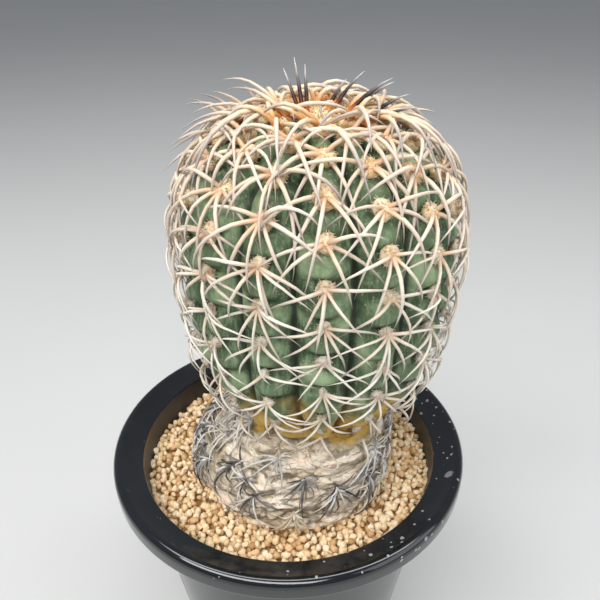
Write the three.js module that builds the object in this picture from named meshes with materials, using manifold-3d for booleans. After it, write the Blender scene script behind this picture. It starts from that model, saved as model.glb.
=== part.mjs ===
// A round, ribbed, long-spined cactus on its corky old stem base, planted in a
// flared-rim plastic pot with gravel, potting mix and a granule top dressing.
// Units are millimetres. +Z is up and the origin is the centre of the pot's foot,
// at the level of the surface that the pot stands on. -Y is the front.

import * as THREE from 'three';
import { mergeVertices } from 'three/addons/utils/BufferGeometryUtils.js';
import Module from 'manifold-3d';

const wasm = await Module();
wasm.setup();

// ---------------------------------------------------------------- dimensions

const GAP = 0.3; // clearance between pieces that rest against each other
const UP = new THREE.Vector3(0, 0, 1);

const POT = {
  facets: 48,
  rimRadius: 75,
  mouthRadius: 62.7, // inner edge of the flared rim
  mouthHeight: 132,
  rimRise: 3.3, // the rim's outer lip stands this much above its inner edge
  lipRound: 1.4,
  skirtDepth: 7.8, // the turned-down outer edge of the rim
  skirtWall: 1.8,
  wall: 1.9,
  taper: 0.1487, // radius lost for each millimetre down
  footHeight: 3,
  footWidth: 4.5,
  floorThickness: 2.5,
};

const DRAIN_SLOT = { count: 8, innerEnd: 14, outerEnd: 32, width: 3.6 };

const FILL = { gravelTop: 20, mixTop: 112, dressingTop: 122, dressingHeap: 0.8 };

const STEM = {
  ribs: 15,
  facetsPerRib: 3,
  ribDepth: 3.4,
  crestPower: 1.6, // how sharply the skin falls away from a rib's crest
  ribsRise: [4, 34], // the ribs rise between these distances from the crown
  ribsFade: [26, 6], // and fade between these distances above the neck
  tubercle: 0.9, // how far a rib swells out below each areole
  tuberclePhase: 0.3, // part of the areoles' pitch from an areole to the middle of its swelling
  footCentre: new THREE.Vector2(1.5, -1), // centre line of the corky base
  bodyCentre: new THREE.Vector2(11.5, 0), // centre line of the green body
  leanFrom: 134, // the centre line moves over between these heights
  leanTo: 155,
  corkFold: 0.54, // size of the folds in the cork
  corkStart: [0, 10], // the folds rise between these distances below the neck
  corkEnd: [8, 2], // and fade between these distances above the granules
  bodyRings: 27,
  corkRings: 7,
  rootRings: 4,
};

// Radius and height down the plant, from the crown to the tip of the root.
const OUTLINE = [
  [0, 273], [15, 272], [28, 268], [37.4, 261], [45, 250], [48.5, 236],
  [48.6, 220], [47.2, 203], [44.6, 186], [41.4, 177], [36.5, 170], [33, 164],
  [30, 159], [25.8, 155.8], [23.6, 153.6], [26.2, 151.4], [30.5, 148.4], [34.2, 144.4],
  [37, 139.4], [38.9, 133.5], [39.4, 127.5], [38.6, 121], [34, 110], [22, 94],
  [12, 74], [5, 57], [0, 48],
];
const NECK_HEIGHT = 153.6;
const CORK_FOOT_HEIGHT = 121;
const TANGENT_STEP = 1.5; // distance to both sides over which the outline's direction is taken

const AREOLE = {
  pitch: 13.5, // distance along a rib from one areole to the next
  firstOnRibOne: 15, // distance from the crown to the front rib's first whole areole
  turn: 0.4, // part of the pitch by which each rib's areoles sit lower than the last rib's
  crownLimit: 19, // areoles closer to the crown than this belong to the crown cluster
  neckLimit: 142, // areoles further from the crown than this have been shed at the neck
};

const THORN = { sides: 3, steps: 2 };

const OLD_AREOLE = { pitch: 13.5, lowest: 9.5, reach: 31 };

const CROWN = {
  woolRadius: 8.5,
  woolHeight: 3.2,
  ringInner: 9.1,
  ringOuter: 13.4,
  ringHeight: 2,
  arching: { count: 12, length: 9.5, lean: 52, sag: 0.12, radius: 0.95 },
  erect: { count: 7, length: 16, lean: 20, sag: 0.06, radius: 1.1 },
};

const FINISH = {
  potBlack: { color: 0x23272c, roughness: 0.22, metalness: 0 },
  gravel: { color: 0x8d8577, roughness: 0.95, metalness: 0 },
  mix: { color: 0x5b4431, roughness: 1, metalness: 0 },
  granule: { color: 0xc9a574, roughness: 0.95, metalness: 0 },
  stemGreen: { color: 0x5e6b52, roughness: 0.6, metalness: 0 },
  wool: { color: 0xe2cfae, roughness: 1, metalness: 0 },
  spine: { color: 0xd6c3ab, roughness: 0.5, metalness: 0 },
  oldSpine: { color: 0x9c9a94, roughness: 0.7, metalness: 0 },
};

// ------------------------------------------------------------------- helpers

/** A closed three.js geometry as a manifold solid. */
function solid(geometry) {
  const bare = geometry.clone();
  bare.deleteAttribute('normal');
  bare.deleteAttribute('uv');
  const merged = mergeVertices(bare, 1e-4);
  const corners = merged.index.array;
  const kept = [];
  for (let i = 0; i < corners.length; i += 3) {
    const [a, b, c] = [corners[i], corners[i + 1], corners[i + 2]];
    if (a !== b && b !== c && c !== a) {
      kept.push(a, b, c);
    }
  }
  return new wasm.Manifold(new wasm.Mesh({
    numProp: 3,
    vertProperties: new Float32Array(merged.attributes.position.array),
    triVerts: new Uint32Array(kept),
  }));
}

/** A manifold solid as a three.js geometry. */
function geometryOf(manifold) {
  const mesh = manifold.getMesh();
  const geometry = new THREE.BufferGeometry();
  geometry.setAttribute('position', new THREE.BufferAttribute(mesh.vertProperties, 3));
  geometry.setIndex(new THREE.BufferAttribute(mesh.triVerts, 1));
  geometry.computeVertexNormals();
  return geometry;
}

/** A round solid about the Z axis, from a profile of [radius, height] pairs. */
function turned(profile, facets) {
  const points = profile.map(([radius, height]) => new THREE.Vector2(radius, height));
  return new THREE.LatheGeometry(points, facets).rotateX(Math.PI / 2);
}

/** Bends a shape that stands one unit tall about the Y axis, so that it follows a curve. */
function bend(geometry, curve, steps) {
  const frames = curve.computeFrenetFrames(steps);
  const position = geometry.attributes.position;
  for (let i = 0; i < position.count; i++) {
    const step = Math.round((position.getY(i) + 0.5) * steps);
    const point = curve.getPointAt(step / steps)
      .addScaledVector(frames.normals[step], position.getX(i))
      .addScaledVector(frames.binormals[step], -position.getZ(i));
    position.setXYZ(i, point.x, point.y, point.z);
  }
  return geometry;
}

/** A tapering thorn whose axis follows a curve, pointed at the curve's end. */
function thorn(curve, radius) {
  return bend(new THREE.ConeGeometry(radius, 1, THORN.sides, THORN.steps), curve, THORN.steps);
}

const degrees = THREE.MathUtils.degToRad;
const smooth = THREE.MathUtils.smoothstep;

// ------------------------------------------------------------- the plant skin

const outline = new THREE.SplineCurve(OUTLINE.map(([r, z]) => new THREE.Vector2(r, z)));
outline.arcLengthDivisions = 800;
const stemLength = outline.getLength();

/** Distance down the skin from the crown at which the outline reaches a height. */
function distanceAtHeight(height) {
  let low = 0;
  let high = 1;
  for (let i = 0; i < 40; i++) {
    const middle = (low + high) / 2;
    if (outline.getPointAt(middle).y > height) {
      low = middle;
    } else {
      high = middle;
    }
  }
  return low * stemLength;
}

const neckDistance = distanceAtHeight(NECK_HEIGHT);
const soilDistance = distanceAtHeight(FILL.dressingTop);
const corkFootDistance = distanceAtHeight(CORK_FOOT_HEIGHT);
const ribTurn = 2 * Math.PI / STEM.ribs;

/** Plan position of the plant's centre line at a height. */
function centreAt(height) {
  const shift = smooth(height, STEM.leanFrom, STEM.leanTo);
  return STEM.footCentre.clone().lerp(STEM.bodyCentre, shift);
}

/** Places of the areoles down one rib of the green body. */
function areolesOnRib(rib) {
  const distances = [];
  const lag = (AREOLE.turn * rib) % 1;
  let distance = AREOLE.firstOnRibOne + (lag - 1) * AREOLE.pitch;
  while (distance < AREOLE.neckLimit) {
    if (distance > AREOLE.crownLimit) {
      distances.push(distance);
    }
    distance += AREOLE.pitch;
  }
  return distances;
}

/** Places of the old areoles up one rib of the corky base, as distances from the crown. */
function oldAreolesOnRib(rib) {
  const distances = [];
  const lag = (AREOLE.turn * rib) % 1;
  let aboveSoil = OLD_AREOLE.lowest + (1 - lag) * OLD_AREOLE.pitch;
  if (aboveSoil >= OLD_AREOLE.lowest + OLD_AREOLE.pitch) {
    aboveSoil -= OLD_AREOLE.pitch;
  }
  while (aboveSoil < OLD_AREOLE.reach) {
    distances.unshift(soilDistance - aboveSoil);
    aboveSoil += OLD_AREOLE.pitch;
  }
  return distances;
}

/** Share from 0 to 1 that rises past the first distance and is complete at the second. */
function rising(distance, [from, to]) {
  return smooth(distance, from, to);
}

/** Share that is 1 until the first distance above a limit and 0 from the second one on. */
function fading(distance, limit, [from, to]) {
  return 1 - smooth(distance, limit - from, limit - to);
}

/** A point of the skin; angle 0 is the front and angles grow towards +X. */
function skinPoint(distance, angle) {
  const share = THREE.MathUtils.clamp(distance / stemLength, 0, 1);
  const { x: radius, y: height } = outline.getPointAt(share);
  const fromCrest = Math.abs(((angle / ribTurn) % 1 + 1.5) % 1 - 0.5) * 2;
  const ribbed = rising(distance, STEM.ribsRise) * fading(distance, neckDistance, STEM.ribsFade);
  const corky = rising(distance - neckDistance, STEM.corkStart)
    * fading(distance, soilDistance, STEM.corkEnd);
  const rib = Math.round(((angle / ribTurn) % STEM.ribs + STEM.ribs) % STEM.ribs);
  const phase = (distance - AREOLE.firstOnRibOne) / AREOLE.pitch - AREOLE.turn * rib;
  const swell = Math.cos(2 * Math.PI * (phase - STEM.tuberclePhase)) * (1 - fromCrest);
  const fold = Math.cos(7 * angle + distance / 6) + 0.6 * Math.sin(11 * angle - distance / 4);
  const reach = radius
    - ribbed * STEM.ribDepth * fromCrest ** STEM.crestPower
    + ribbed * STEM.tubercle * swell
    + corky * STEM.corkFold * fold;
  const centre = centreAt(height);
  return new THREE.Vector3(
    centre.x + reach * Math.sin(angle),
    centre.y - reach * Math.cos(angle),
    height,
  );
}

/** Unit direction down the smooth outline at a distance from the crown. */
function outlineTangent(distance, angle) {
  const before = outline.getPointAt((distance - TANGENT_STEP) / stemLength);
  const after = outline.getPointAt((distance + TANGENT_STEP) / stemLength);
  const across = after.x - before.x;
  const drop = after.y - before.y;
  return new THREE.Vector3(across * Math.sin(angle), -across * Math.cos(angle), drop).normalize();
}

/** A seat on the skin: its point and the directions out of it, down the rib and to its side. */
function seatOn(distance, angle) {
  const point = skinPoint(distance, angle);
  const side = new THREE.Vector3(Math.cos(angle), Math.sin(angle), 0);
  const down = outlineTangent(distance, angle);
  const out = new THREE.Vector3().crossVectors(down, side).normalize();
  return { point, side, down, out, reach: outline.getPointAt(distance / stemLength).x };
}

/** A point given by how far it lies from a seat to its side, down the rib and out. */
function fromSeat(seat, aside, along, away) {
  return seat.point.clone()
    .addScaledVector(seat.side, aside)
    .addScaledVector(seat.down, along)
    .addScaledVector(seat.out, away);
}

/** The cactus itself: root, corky base, neck and ribbed green body, grown as one piece. */
function stemGeometry() {
  const facets = STEM.ribs * STEM.facetsPerRib;
  const distances = [];
  for (let i = 0; i < STEM.rootRings; i++) {
    distances.push(THREE.MathUtils.lerp(stemLength, corkFootDistance, i / STEM.rootRings));
  }
  for (let i = 0; i < STEM.corkRings; i++) {
    distances.push(THREE.MathUtils.lerp(corkFootDistance, neckDistance, i / STEM.corkRings));
  }
  for (let i = 0; i <= STEM.bodyRings; i++) {
    distances.push(THREE.MathUtils.lerp(neckDistance, 0, i / STEM.bodyRings));
  }
  const profile = distances.map((distance) => outline.getPointAt(distance / stemLength));
  const lathe = new THREE.LatheGeometry(profile, facets);
  const position = lathe.attributes.position;
  for (let i = 0; i <= facets; i++) {
    const angle = (i % facets) * 2 * Math.PI / facets + ribTurn / (2 * STEM.facetsPerRib);
    distances.forEach((distance, j) => {
      const point = skinPoint(distance, angle);
      position.setXYZ(i * distances.length + j, point.x, point.y, point.z);
    });
  }
  return lathe;
}

/** The space that the root and the buried foot of the stem take up, with clearance. */
function rootSocket() {
  const facets = STEM.ribs * STEM.facetsPerRib;
  const profile = [];
  for (let i = 0; i <= STEM.rootRings; i++) {
    const distance = THREE.MathUtils.lerp(stemLength, corkFootDistance, i / STEM.rootRings);
    const { x, y } = outline.getPointAt(distance / stemLength);
    profile.push(i === 0 ? [0, y - GAP] : [x + GAP, y - GAP]);
  }
  const collar = outline.getPointAt(soilDistance / stemLength).x + 2 * GAP;
  const above = FILL.dressingTop + 5 * FILL.dressingHeap;
  profile.push([collar, FILL.dressingTop], [collar, above], [0, above]);
  const socket = turned(profile, facets).rotateZ(ribTurn / (2 * STEM.facetsPerRib));
  return socket.translate(STEM.footCentre.x, STEM.footCentre.y, 0);
}

// ------------------------------------------------------------ pot and its fill

const floorTop = POT.footHeight + POT.floorThickness;
const innerRadius = (height) => POT.mouthRadius - POT.taper * (POT.mouthHeight - height);
const outerRadius = (height) => innerRadius(height) + POT.wall;

/** The pot: foot ring, floor with drain slots, tapering wall and flared, turned-down rim. */
function potGeometry() {
  const lip = POT.mouthHeight + POT.rimRise;
  const skirtFoot = lip - POT.skirtDepth;
  const footInner = outerRadius(0) - POT.footWidth;
  const underRim = POT.mouthHeight - POT.wall;
  const profile = [
    [0, POT.footHeight], [footInner, POT.footHeight], [footInner, 0],
    [outerRadius(0), 0], [outerRadius(underRim), underRim],
    [POT.rimRadius - POT.skirtWall, lip - 2 * POT.skirtWall],
    [POT.rimRadius - POT.skirtWall - 0.3, skirtFoot + 0.5],
    [POT.rimRadius - POT.skirtWall / 2, skirtFoot],
  ];
  for (const turn of [0, 30, 60, 90]) {
    profile.push([
      POT.rimRadius - POT.lipRound * (1 - Math.cos(degrees(turn))),
      lip - POT.lipRound * (1 - Math.sin(degrees(turn))),
    ]);
  }
  profile.push(
    [POT.mouthRadius + 1, POT.mouthHeight + 0.25], [POT.mouthRadius, POT.mouthHeight - 0.8],
    [innerRadius(floorTop), floorTop], [0, floorTop],
  );
  let pot = solid(turned(profile, POT.facets));
  for (let i = 0; i < DRAIN_SLOT.count; i++) {
    const slot = drainSlot().rotateZ(i * 2 * Math.PI / DRAIN_SLOT.count);
    pot = pot.subtract(solid(slot));
  }
  return geometryOf(pot);
}

/** A round-ended slot along +X, tall enough to cut through the pot's floor. */
function drainSlot() {
  const half = DRAIN_SLOT.width / 2;
  const shape = new THREE.Shape();
  shape.moveTo(DRAIN_SLOT.innerEnd, -half);
  shape.lineTo(DRAIN_SLOT.outerEnd, -half);
  shape.absarc(DRAIN_SLOT.outerEnd, 0, half, -Math.PI / 2, Math.PI / 2, false);
  shape.lineTo(DRAIN_SLOT.innerEnd, half);
  shape.absarc(DRAIN_SLOT.innerEnd, 0, half, Math.PI / 2, 3 * Math.PI / 2, false);
  const depth = floorTop + 2;
  return new THREE.ExtrudeGeometry(shape, { depth, bevelEnabled: false, curveSegments: 3 })
    .translate(0, 0, POT.footHeight / 2);
}

/** One layer of the fill, lying against the pot's wall with clearance all round. */
function fillLayer(bottom, top, heap) {
  const profile = [
    [0, bottom], [innerRadius(bottom) - GAP, bottom], [innerRadius(top) - GAP, top], [0, top + heap],
  ];
  return turned(profile, POT.facets);
}

/** A layer with the root's space cut out of it. */
function plantedLayer(bottom, top, heap) {
  return geometryOf(solid(fillLayer(bottom, top, heap)).subtract(solid(rootSocket())));
}

// -------------------------------------------------------------------- spines

const RINGS_PER_AREOLE = 4;
const PAD_ENDS = [0.35, 0.4]; // half width of a pad's two ends, as a part of its whole width
const SECTOR_PART = 0.92; // part of a rib's own half width that its side spines may take up
const THORN_WAIST = { aside: 0.55, along: 0.4 }; // where a side spine's bow is highest

/** Three corners round the chain of an areole row: its ridge and its feet to both sides. */
function ringAt(seat, along, lift, size) {
  return [
    fromSeat(seat, 0, along, lift + size),
    fromSeat(seat, size, along, lift),
    fromSeat(seat, -size, along, lift),
  ];
}

/** The rings of a row: three for each felt pad and one for each downward spine's bow. */
function rowRings(seats, style) {
  const rings = [];
  seats.forEach((seat, i) => {
    rings.push(ringAt(seat, -style.padLength / 2, style.padLift, style.padWidth * PAD_ENDS[0]));
    rings.push(ringAt(seat, 0, style.padLift, style.padWidth / 2));
    rings.push(ringAt(seat, style.padLength / 2, style.padLift, style.padWidth * PAD_ENDS[1]));
    const reach = i + 1 < seats.length ? style.pitch / 2 : style.lastLength;
    const size = i + 1 < seats.length ? style.thickness : 0.1;
    rings.push(ringAt(seat, reach, style.downBow, size));
  });
  return rings;
}

/** Draws one triangle of a shell out into a thorn, through a middle point to its tip. */
function drawOut(corners, indices, triangle, middle, tip, thickness) {
  const base = indices.slice(3 * triangle, 3 * triangle + 3);
  const heart = new THREE.Vector3();
  base.forEach((corner) => heart.addScaledVector(corners[corner], 1 / 3));
  const span = corners[base[0]].distanceTo(heart);
  const waist = base.map((corner) => {
    const offset = corners[corner].clone().sub(heart).multiplyScalar(thickness / span);
    return corners.push(offset.add(middle)) - 1;
  });
  const point = corners.push(tip) - 1;
  const sides = [];
  for (let i = 0; i < 3; i++) {
    const j = (i + 1) % 3;
    sides.push(base[i], base[j], waist[j], base[i], waist[j], waist[i], waist[i], waist[j], point);
  }
  indices.splice(3 * triangle, 3, ...sides.slice(0, 3));
  indices.push(...sides.slice(3));
}

/** A three-sided tube with end caps, laid through a chain of three-cornered rings. */
function chainThrough(rings) {
  const spans = rings.length - 1;
  const tube = new THREE.CylinderGeometry(1, 1, 1, 3, spans);
  const position = tube.attributes.position;
  const wallCorners = 4 * rings.length;
  for (let i = 0; i < position.count; i++) {
    let ring = rings[Math.floor(i / 4)];
    if (i >= wallCorners) {
      ring = position.getY(i) > 0 ? rings[0] : rings[spans];
    }
    const turn = Math.atan2(position.getX(i), position.getZ(i)) / (2 * Math.PI);
    const corner = ring[Math.round(turn * 3 + 3) % 3].clone();
    if (Math.hypot(position.getX(i), position.getZ(i)) < 0.5) {
      corner.copy(ring[0]).add(ring[1]).add(ring[2]).divideScalar(3);
    }
    position.setXYZ(i, corner.x, corner.y, corner.z);
  }
  tube.deleteAttribute('normal');
  tube.deleteAttribute('uv');
  return mergeVertices(tube, 1e-4);
}

/** One rib's row of areoles and spines: a chain of felt pads whose faces are drawn out. */
function spineRow(distances, angle, style) {
  const seats = distances.map((distance) => seatOn(distance, angle));
  const rings = rowRings(seats, style);
  const spans = rings.length - 1;
  const shell = chainThrough(rings);
  const indices = [...shell.index.array];
  const corners = [];
  for (let i = 0; i < shell.attributes.position.count; i++) {
    corners.push(new THREE.Vector3().fromBufferAttribute(shell.attributes.position, i));
  }
  seats.forEach((seat, i) => {
    const halfSector = seat.reach * Math.tan(ribTurn / 2) * SECTOR_PART;
    for (const [hand, column] of [[1, 0], [-1, 2]]) {
      style.sides.forEach(({ aside, along, bow }, pair) => {
        const reach = Math.min(aside, halfSector);
        const rise = THREE.MathUtils.lerp(style.tipLift, bow, reach / aside);
        const across = hand * reach;
        const middle = fromSeat(seat, across * THORN_WAIST.aside, along * THORN_WAIST.along, rise);
        const tip = fromSeat(seat, across, along, style.tipLift);
        const triangle = 2 * (column * spans + RINGS_PER_AREOLE * i + pair) + pair;
        drawOut(corners, indices, triangle, middle, tip, style.thickness);
      });
    }
  });
  const row = new THREE.BufferGeometry().setFromPoints(corners);
  row.setIndex(indices);
  row.computeVertexNormals();
  return row;
}

const BODY_ROW = {
  pitch: AREOLE.pitch,
  padLength: 4,
  padWidth: 4.4,
  padLift: 0.9,
  sides: [{ aside: 10.5, along: -1, bow: 4.6 }, { aside: 10, along: 9, bow: 4.8 }],
  tipLift: 2,
  downBow: 4.6,
  lastLength: 14,
  thickness: 0.75,
};

const CORK_ROW = {
  pitch: AREOLE.pitch,
  padLength: 3.4,
  padWidth: 3.6,
  padLift: 1.1,
  sides: [{ aside: 7.4, along: -1, bow: 4 }, { aside: 6.5, along: 6, bow: 4 }],
  tipLift: 1.6,
  downBow: 3.6,
  lastLength: 6.5,
  thickness: 0.6,
};

// --------------------------------------------------------------------- crown

/** Height of the plant's skin over a radius near the crown. */
function crownHeight(radius) {
  return skinPoint(radius, ribTurn).z;
}

/** The pad of young wool in the middle of the crown. */
function crownWoolGeometry() {
  const bottom = crownHeight(0) + GAP;
  const profile = [[0, bottom], [CROWN.woolRadius, bottom]];
  for (const turn of [30, 60, 90]) {
    profile.push([
      CROWN.woolRadius * Math.cos(degrees(turn)),
      bottom + CROWN.woolHeight * Math.sin(degrees(turn)),
    ]);
  }
  return turned(profile, 18).translate(STEM.bodyCentre.x, STEM.bodyCentre.y, 0);
}

/** A ring of thorns that rise from the crown's ring of young areoles. */
function crownThorns(style, ringRadius, rootHeight, turnOffset) {
  const thorns = [];
  for (let i = 0; i < style.count; i++) {
    const angle = turnOffset + i * 2 * Math.PI / style.count;
    const outward = new THREE.Vector3(Math.sin(angle), -Math.cos(angle), 0);
    const root = outward.clone().multiplyScalar(ringRadius).setZ(rootHeight);
    root.x += STEM.bodyCentre.x;
    root.y += STEM.bodyCentre.y;
    const heading = outward.clone().multiplyScalar(Math.sin(degrees(style.lean)))
      .addScaledVector(UP, Math.cos(degrees(style.lean)));
    const tip = root.clone().addScaledVector(heading, style.length)
      .addScaledVector(UP, -style.sag * style.length);
    const middle = root.clone().addScaledVector(heading, style.length * 0.5);
    const curve = new THREE.QuadraticBezierCurve3(root, middle, tip);
    thorns.push(solid(thorn(curve, style.radius)));
  }
  return thorns;
}

/** The crown's ring of crowded young areoles with its arching and erect young spines. */
function crownSpinesGeometry() {
  const inner = crownHeight(CROWN.ringInner) + GAP + 0.4;
  const outer = crownHeight(CROWN.ringOuter) + GAP + 0.8;
  const top = Math.max(inner, outer) + CROWN.ringHeight;
  const middle = (CROWN.ringInner + CROWN.ringOuter) / 2;
  const profile = [
    [CROWN.ringInner, inner], [CROWN.ringOuter, outer], [CROWN.ringOuter - 1, top - 0.6],
    [middle, top], [CROWN.ringInner, top - 0.6], [CROWN.ringInner, inner],
  ];
  const ring = turned(profile, 30).translate(STEM.bodyCentre.x, STEM.bodyCentre.y, 0);
  const rootHeight = top - 1.2;
  const parts = [
    solid(ring),
    ...crownThorns(CROWN.arching, middle, rootHeight, 0),
    ...crownThorns(CROWN.erect, middle, rootHeight, ribTurn / 2),
  ];
  return geometryOf(parts.reduce((whole, part) => whole.add(part)));
}

// ------------------------------------------------------------------ assembly

const pottedCactus = new THREE.Group();

/** Adds one named piece to the group. */
function addPiece(name, geometry, finish) {
  const mesh = new THREE.Mesh(geometry, new THREE.MeshStandardMaterial(finish));
  mesh.name = name;
  pottedCactus.add(mesh);
}

const gravel = fillLayer(floorTop + GAP, FILL.gravelTop, 0);
const mix = plantedLayer(FILL.gravelTop + GAP, FILL.mixTop, 0);
const dressing = plantedLayer(FILL.mixTop + GAP, FILL.dressingTop, FILL.dressingHeap);
addPiece('pot', potGeometry(), FINISH.potBlack);
addPiece('drainage_gravel', gravel, FINISH.gravel);
addPiece('potting_mix', mix, FINISH.mix);
addPiece('top_dressing', dressing, FINISH.granule);
addPiece('cactus_stem', stemGeometry(), FINISH.stemGreen);
addPiece('crown_wool', crownWoolGeometry(), FINISH.wool);
addPiece('crown_spines', crownSpinesGeometry(), FINISH.spine);

for (let rib = 0; rib < STEM.ribs; rib++) {
  const number = String(rib + 1).padStart(2, '0');
  const angle = rib * ribTurn;
  addPiece(`rib_${number}_spines`, spineRow(areolesOnRib(rib), angle, BODY_ROW), FINISH.spine);
  addPiece(`old_rib_${number}_spines`, spineRow(oldAreolesOnRib(rib), angle, CORK_ROW), FINISH.oldSpine);
}

export default pottedCactus;
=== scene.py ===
"""Looks of a potted round cactus.

A single ribbed body grows on its old corky base. Each rib carries a row of woolly areoles with long bowed
spines, the crown is crowded with young ones, and the old base keeps short weathered ones. The plant stands
in a flared black plastic pot under a dressing of pale clay granules. Lengths are written in millimetres and
made in metres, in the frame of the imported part.
"""

import logging
import math
from dataclasses import dataclass, field
from enum import Enum
from typing import Any, Iterable, Sequence

import bmesh
import bpy
import numpy as np
from mathutils import Matrix, Vector, noise


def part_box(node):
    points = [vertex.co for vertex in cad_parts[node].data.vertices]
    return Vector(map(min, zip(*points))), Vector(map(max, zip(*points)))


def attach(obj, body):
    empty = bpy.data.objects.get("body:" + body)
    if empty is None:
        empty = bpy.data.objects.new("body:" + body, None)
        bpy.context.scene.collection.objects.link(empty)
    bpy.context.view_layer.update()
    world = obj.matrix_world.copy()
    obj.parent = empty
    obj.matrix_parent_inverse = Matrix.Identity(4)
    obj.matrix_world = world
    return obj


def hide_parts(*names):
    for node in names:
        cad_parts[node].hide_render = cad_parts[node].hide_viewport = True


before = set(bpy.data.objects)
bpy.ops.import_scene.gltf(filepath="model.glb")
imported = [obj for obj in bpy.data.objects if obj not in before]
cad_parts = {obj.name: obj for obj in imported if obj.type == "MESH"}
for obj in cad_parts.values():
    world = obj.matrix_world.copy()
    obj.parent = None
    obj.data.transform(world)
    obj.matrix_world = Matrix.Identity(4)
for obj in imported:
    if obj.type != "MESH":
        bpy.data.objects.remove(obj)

MM = 0.001
BODY = "root"
log = logging.getLogger("potted_cactus")

Colour = tuple[int, int, int]
Section = list[tuple[float, float]]


# ------------------------------------------------------------------ wiring


def linear(colour: Colour) -> tuple[float, float, float, float]:
    """Turns a screen colour into the linear colour that a shader takes.

    Args:
        colour: Red, green and blue from 0 to 255.

    Returns:
        Linear red, green, blue and a full alpha.
    """
    parts = [c / 255 for c in colour]
    lit = [p / 12.92 if p <= 0.04045 else ((p + 0.055) / 1.055) ** 2.4 for p in parts]
    return (lit[0], lit[1], lit[2], 1.0)


class Wiring:
    """A node tree that is wired up one node at a time."""

    def __init__(self, tree: bpy.types.NodeTree) -> None:
        """Takes the tree to wire up."""
        self.tree = tree

    def node(self, kind: str, inputs: dict[Any, Any] | None = None, **settings: Any) -> bpy.types.Node:
        """Adds a node.

        Args:
            kind: The node's type name.
            inputs: What each input takes: a plain value, or the socket that feeds it.
            settings: The node's own properties.

        Returns:
            The new node.
        """
        made = self.tree.nodes.new(kind)
        for key, value in settings.items():
            setattr(made, key, value)
        for key, value in (inputs or {}).items():
            self.feed(made.inputs[key], value)
        return made

    def feed(self, socket: bpy.types.NodeSocket, value: Any) -> None:
        """Links a socket to another one, or sets its value.

        Args:
            socket: The input socket.
            value: What it takes: a plain value, or the socket that feeds it.
        """
        if isinstance(value, bpy.types.NodeSocket):
            self.tree.links.new(value, socket)
        else:
            socket.default_value = value

    def maths(self, operation: str, *numbers: Any) -> bpy.types.NodeSocket:
        """Does one sum of up to three numbers or sockets, and gives the socket of its answer."""
        return self.node("ShaderNodeMath", dict(enumerate(numbers)), operation=operation).outputs[0]


class Shade(Wiring):
    """The node material of one finish."""

    def __init__(self, name: str) -> None:
        """Starts an empty material.

        Args:
            name: The material's name.
        """
        self.material = bpy.data.materials.new(name)
        self.material.use_nodes = True
        super().__init__(self.material.node_tree)
        self.tree.nodes.clear()
        self.place = self.node("ShaderNodeTexCoord").outputs["Object"]

    def attribute(self, name: str) -> bpy.types.NodeSocket:
        """The socket of a number that the mesh carries at each point."""
        return self.node("ShaderNodeAttribute", attribute_name=name).outputs["Fac"]

    def stretched(self, scale: Sequence[float]) -> bpy.types.NodeSocket:
        """The object's own coordinates, stretched by a scale for each axis."""
        return self.node("ShaderNodeMapping", {"Vector": self.place, "Scale": scale}).outputs[0]

    def grain(
        self,
        scale: float,
        detail: float = 4.0,
        roughness: float = 0.55,
        vector: Any = None,
        swirl: float = 0.0,
    ) -> bpy.types.NodeSocket:
        """Cloudy noise.

        Args:
            scale: How many clouds fit in a metre.
            detail: How many finer layers it has.
            roughness: How strong the finer layers are.
            vector: The coordinates it reads, or None for the object's own.
            swirl: How much it swirls.

        Returns:
            The socket of its value.
        """
        clouded = {"Vector": vector or self.place, "Scale": scale, "Detail": detail}
        clouded |= {"Roughness": roughness, "Distortion": swirl}
        return self.node("ShaderNodeTexNoise", clouded).outputs["Fac"]

    def cells(self, scale: float, feature: str = "F1", vector: Any = None, output: str = "Distance") -> Any:
        """A pattern of cells: the distance to a cell's middle or border, or its colour."""
        inputs = {"Vector": vector or self.place, "Scale": scale}
        return self.node("ShaderNodeTexVoronoi", inputs, feature=feature).outputs[output]

    def ramp(self, value: Any, stops: Iterable[tuple[float, Colour]]) -> bpy.types.NodeSocket:
        """Turns a number into a colour.

        Args:
            value: The number's socket.
            stops: Places from 0 to 1 with the colour at each.

        Returns:
            The socket of the colour.
        """
        made = self.node("ShaderNodeValToRGB", {"Fac": value})
        elements = made.color_ramp.elements
        for i, (place, colour) in enumerate(stops):
            stop = elements[i] if i < 2 else elements.new(place)
            stop.position = place
            stop.color = linear(colour)
        return made.outputs["Color"]

    def span(self, value: Any, low: float, high: float, start: float = 0.0, end: float = 1.0) -> Any:
        """Maps a number from one span to another, smoothly and without passing its ends."""
        inputs = {0: value, 1: low, 2: high, 3: start, 4: end}
        return self.node("ShaderNodeMapRange", inputs, interpolation_type="SMOOTHSTEP").outputs[0]

    def blend(self, share: Any, first: Any, second: Any) -> bpy.types.NodeSocket:
        """Mixes two colours by a share."""
        inputs = {0: share, 6: self.paint(first), 7: self.paint(second)}
        return self.node("ShaderNodeMix", inputs, data_type="RGBA").outputs[2]

    @staticmethod
    def paint(colour: Any) -> Any:
        """A screen colour made linear; a socket is passed on."""
        return linear(colour) if isinstance(colour, tuple) else colour

    def bumps(self, height: Any, depth: float, strength: float) -> bpy.types.NodeSocket:
        """Tilts the surface as relief of a height would, with a depth in millimetres."""
        inputs = {"Height": height, "Distance": depth * MM, "Strength": strength}
        return self.node("ShaderNodeBump", inputs).outputs[0]

    def surface(self, **inputs: Any) -> bpy.types.Material:
        """Closes the material with its surface shader.

        Args:
            inputs: The shader's inputs, with _ for a space in a name.

        Returns:
            The finished material.
        """
        named = {key.replace("_", " "): value for key, value in inputs.items()}
        shader = self.node("ShaderNodeBsdfPrincipled", named)
        self.node("ShaderNodeOutputMaterial", {"Surface": shader.outputs[0]})
        return self.material


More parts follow.
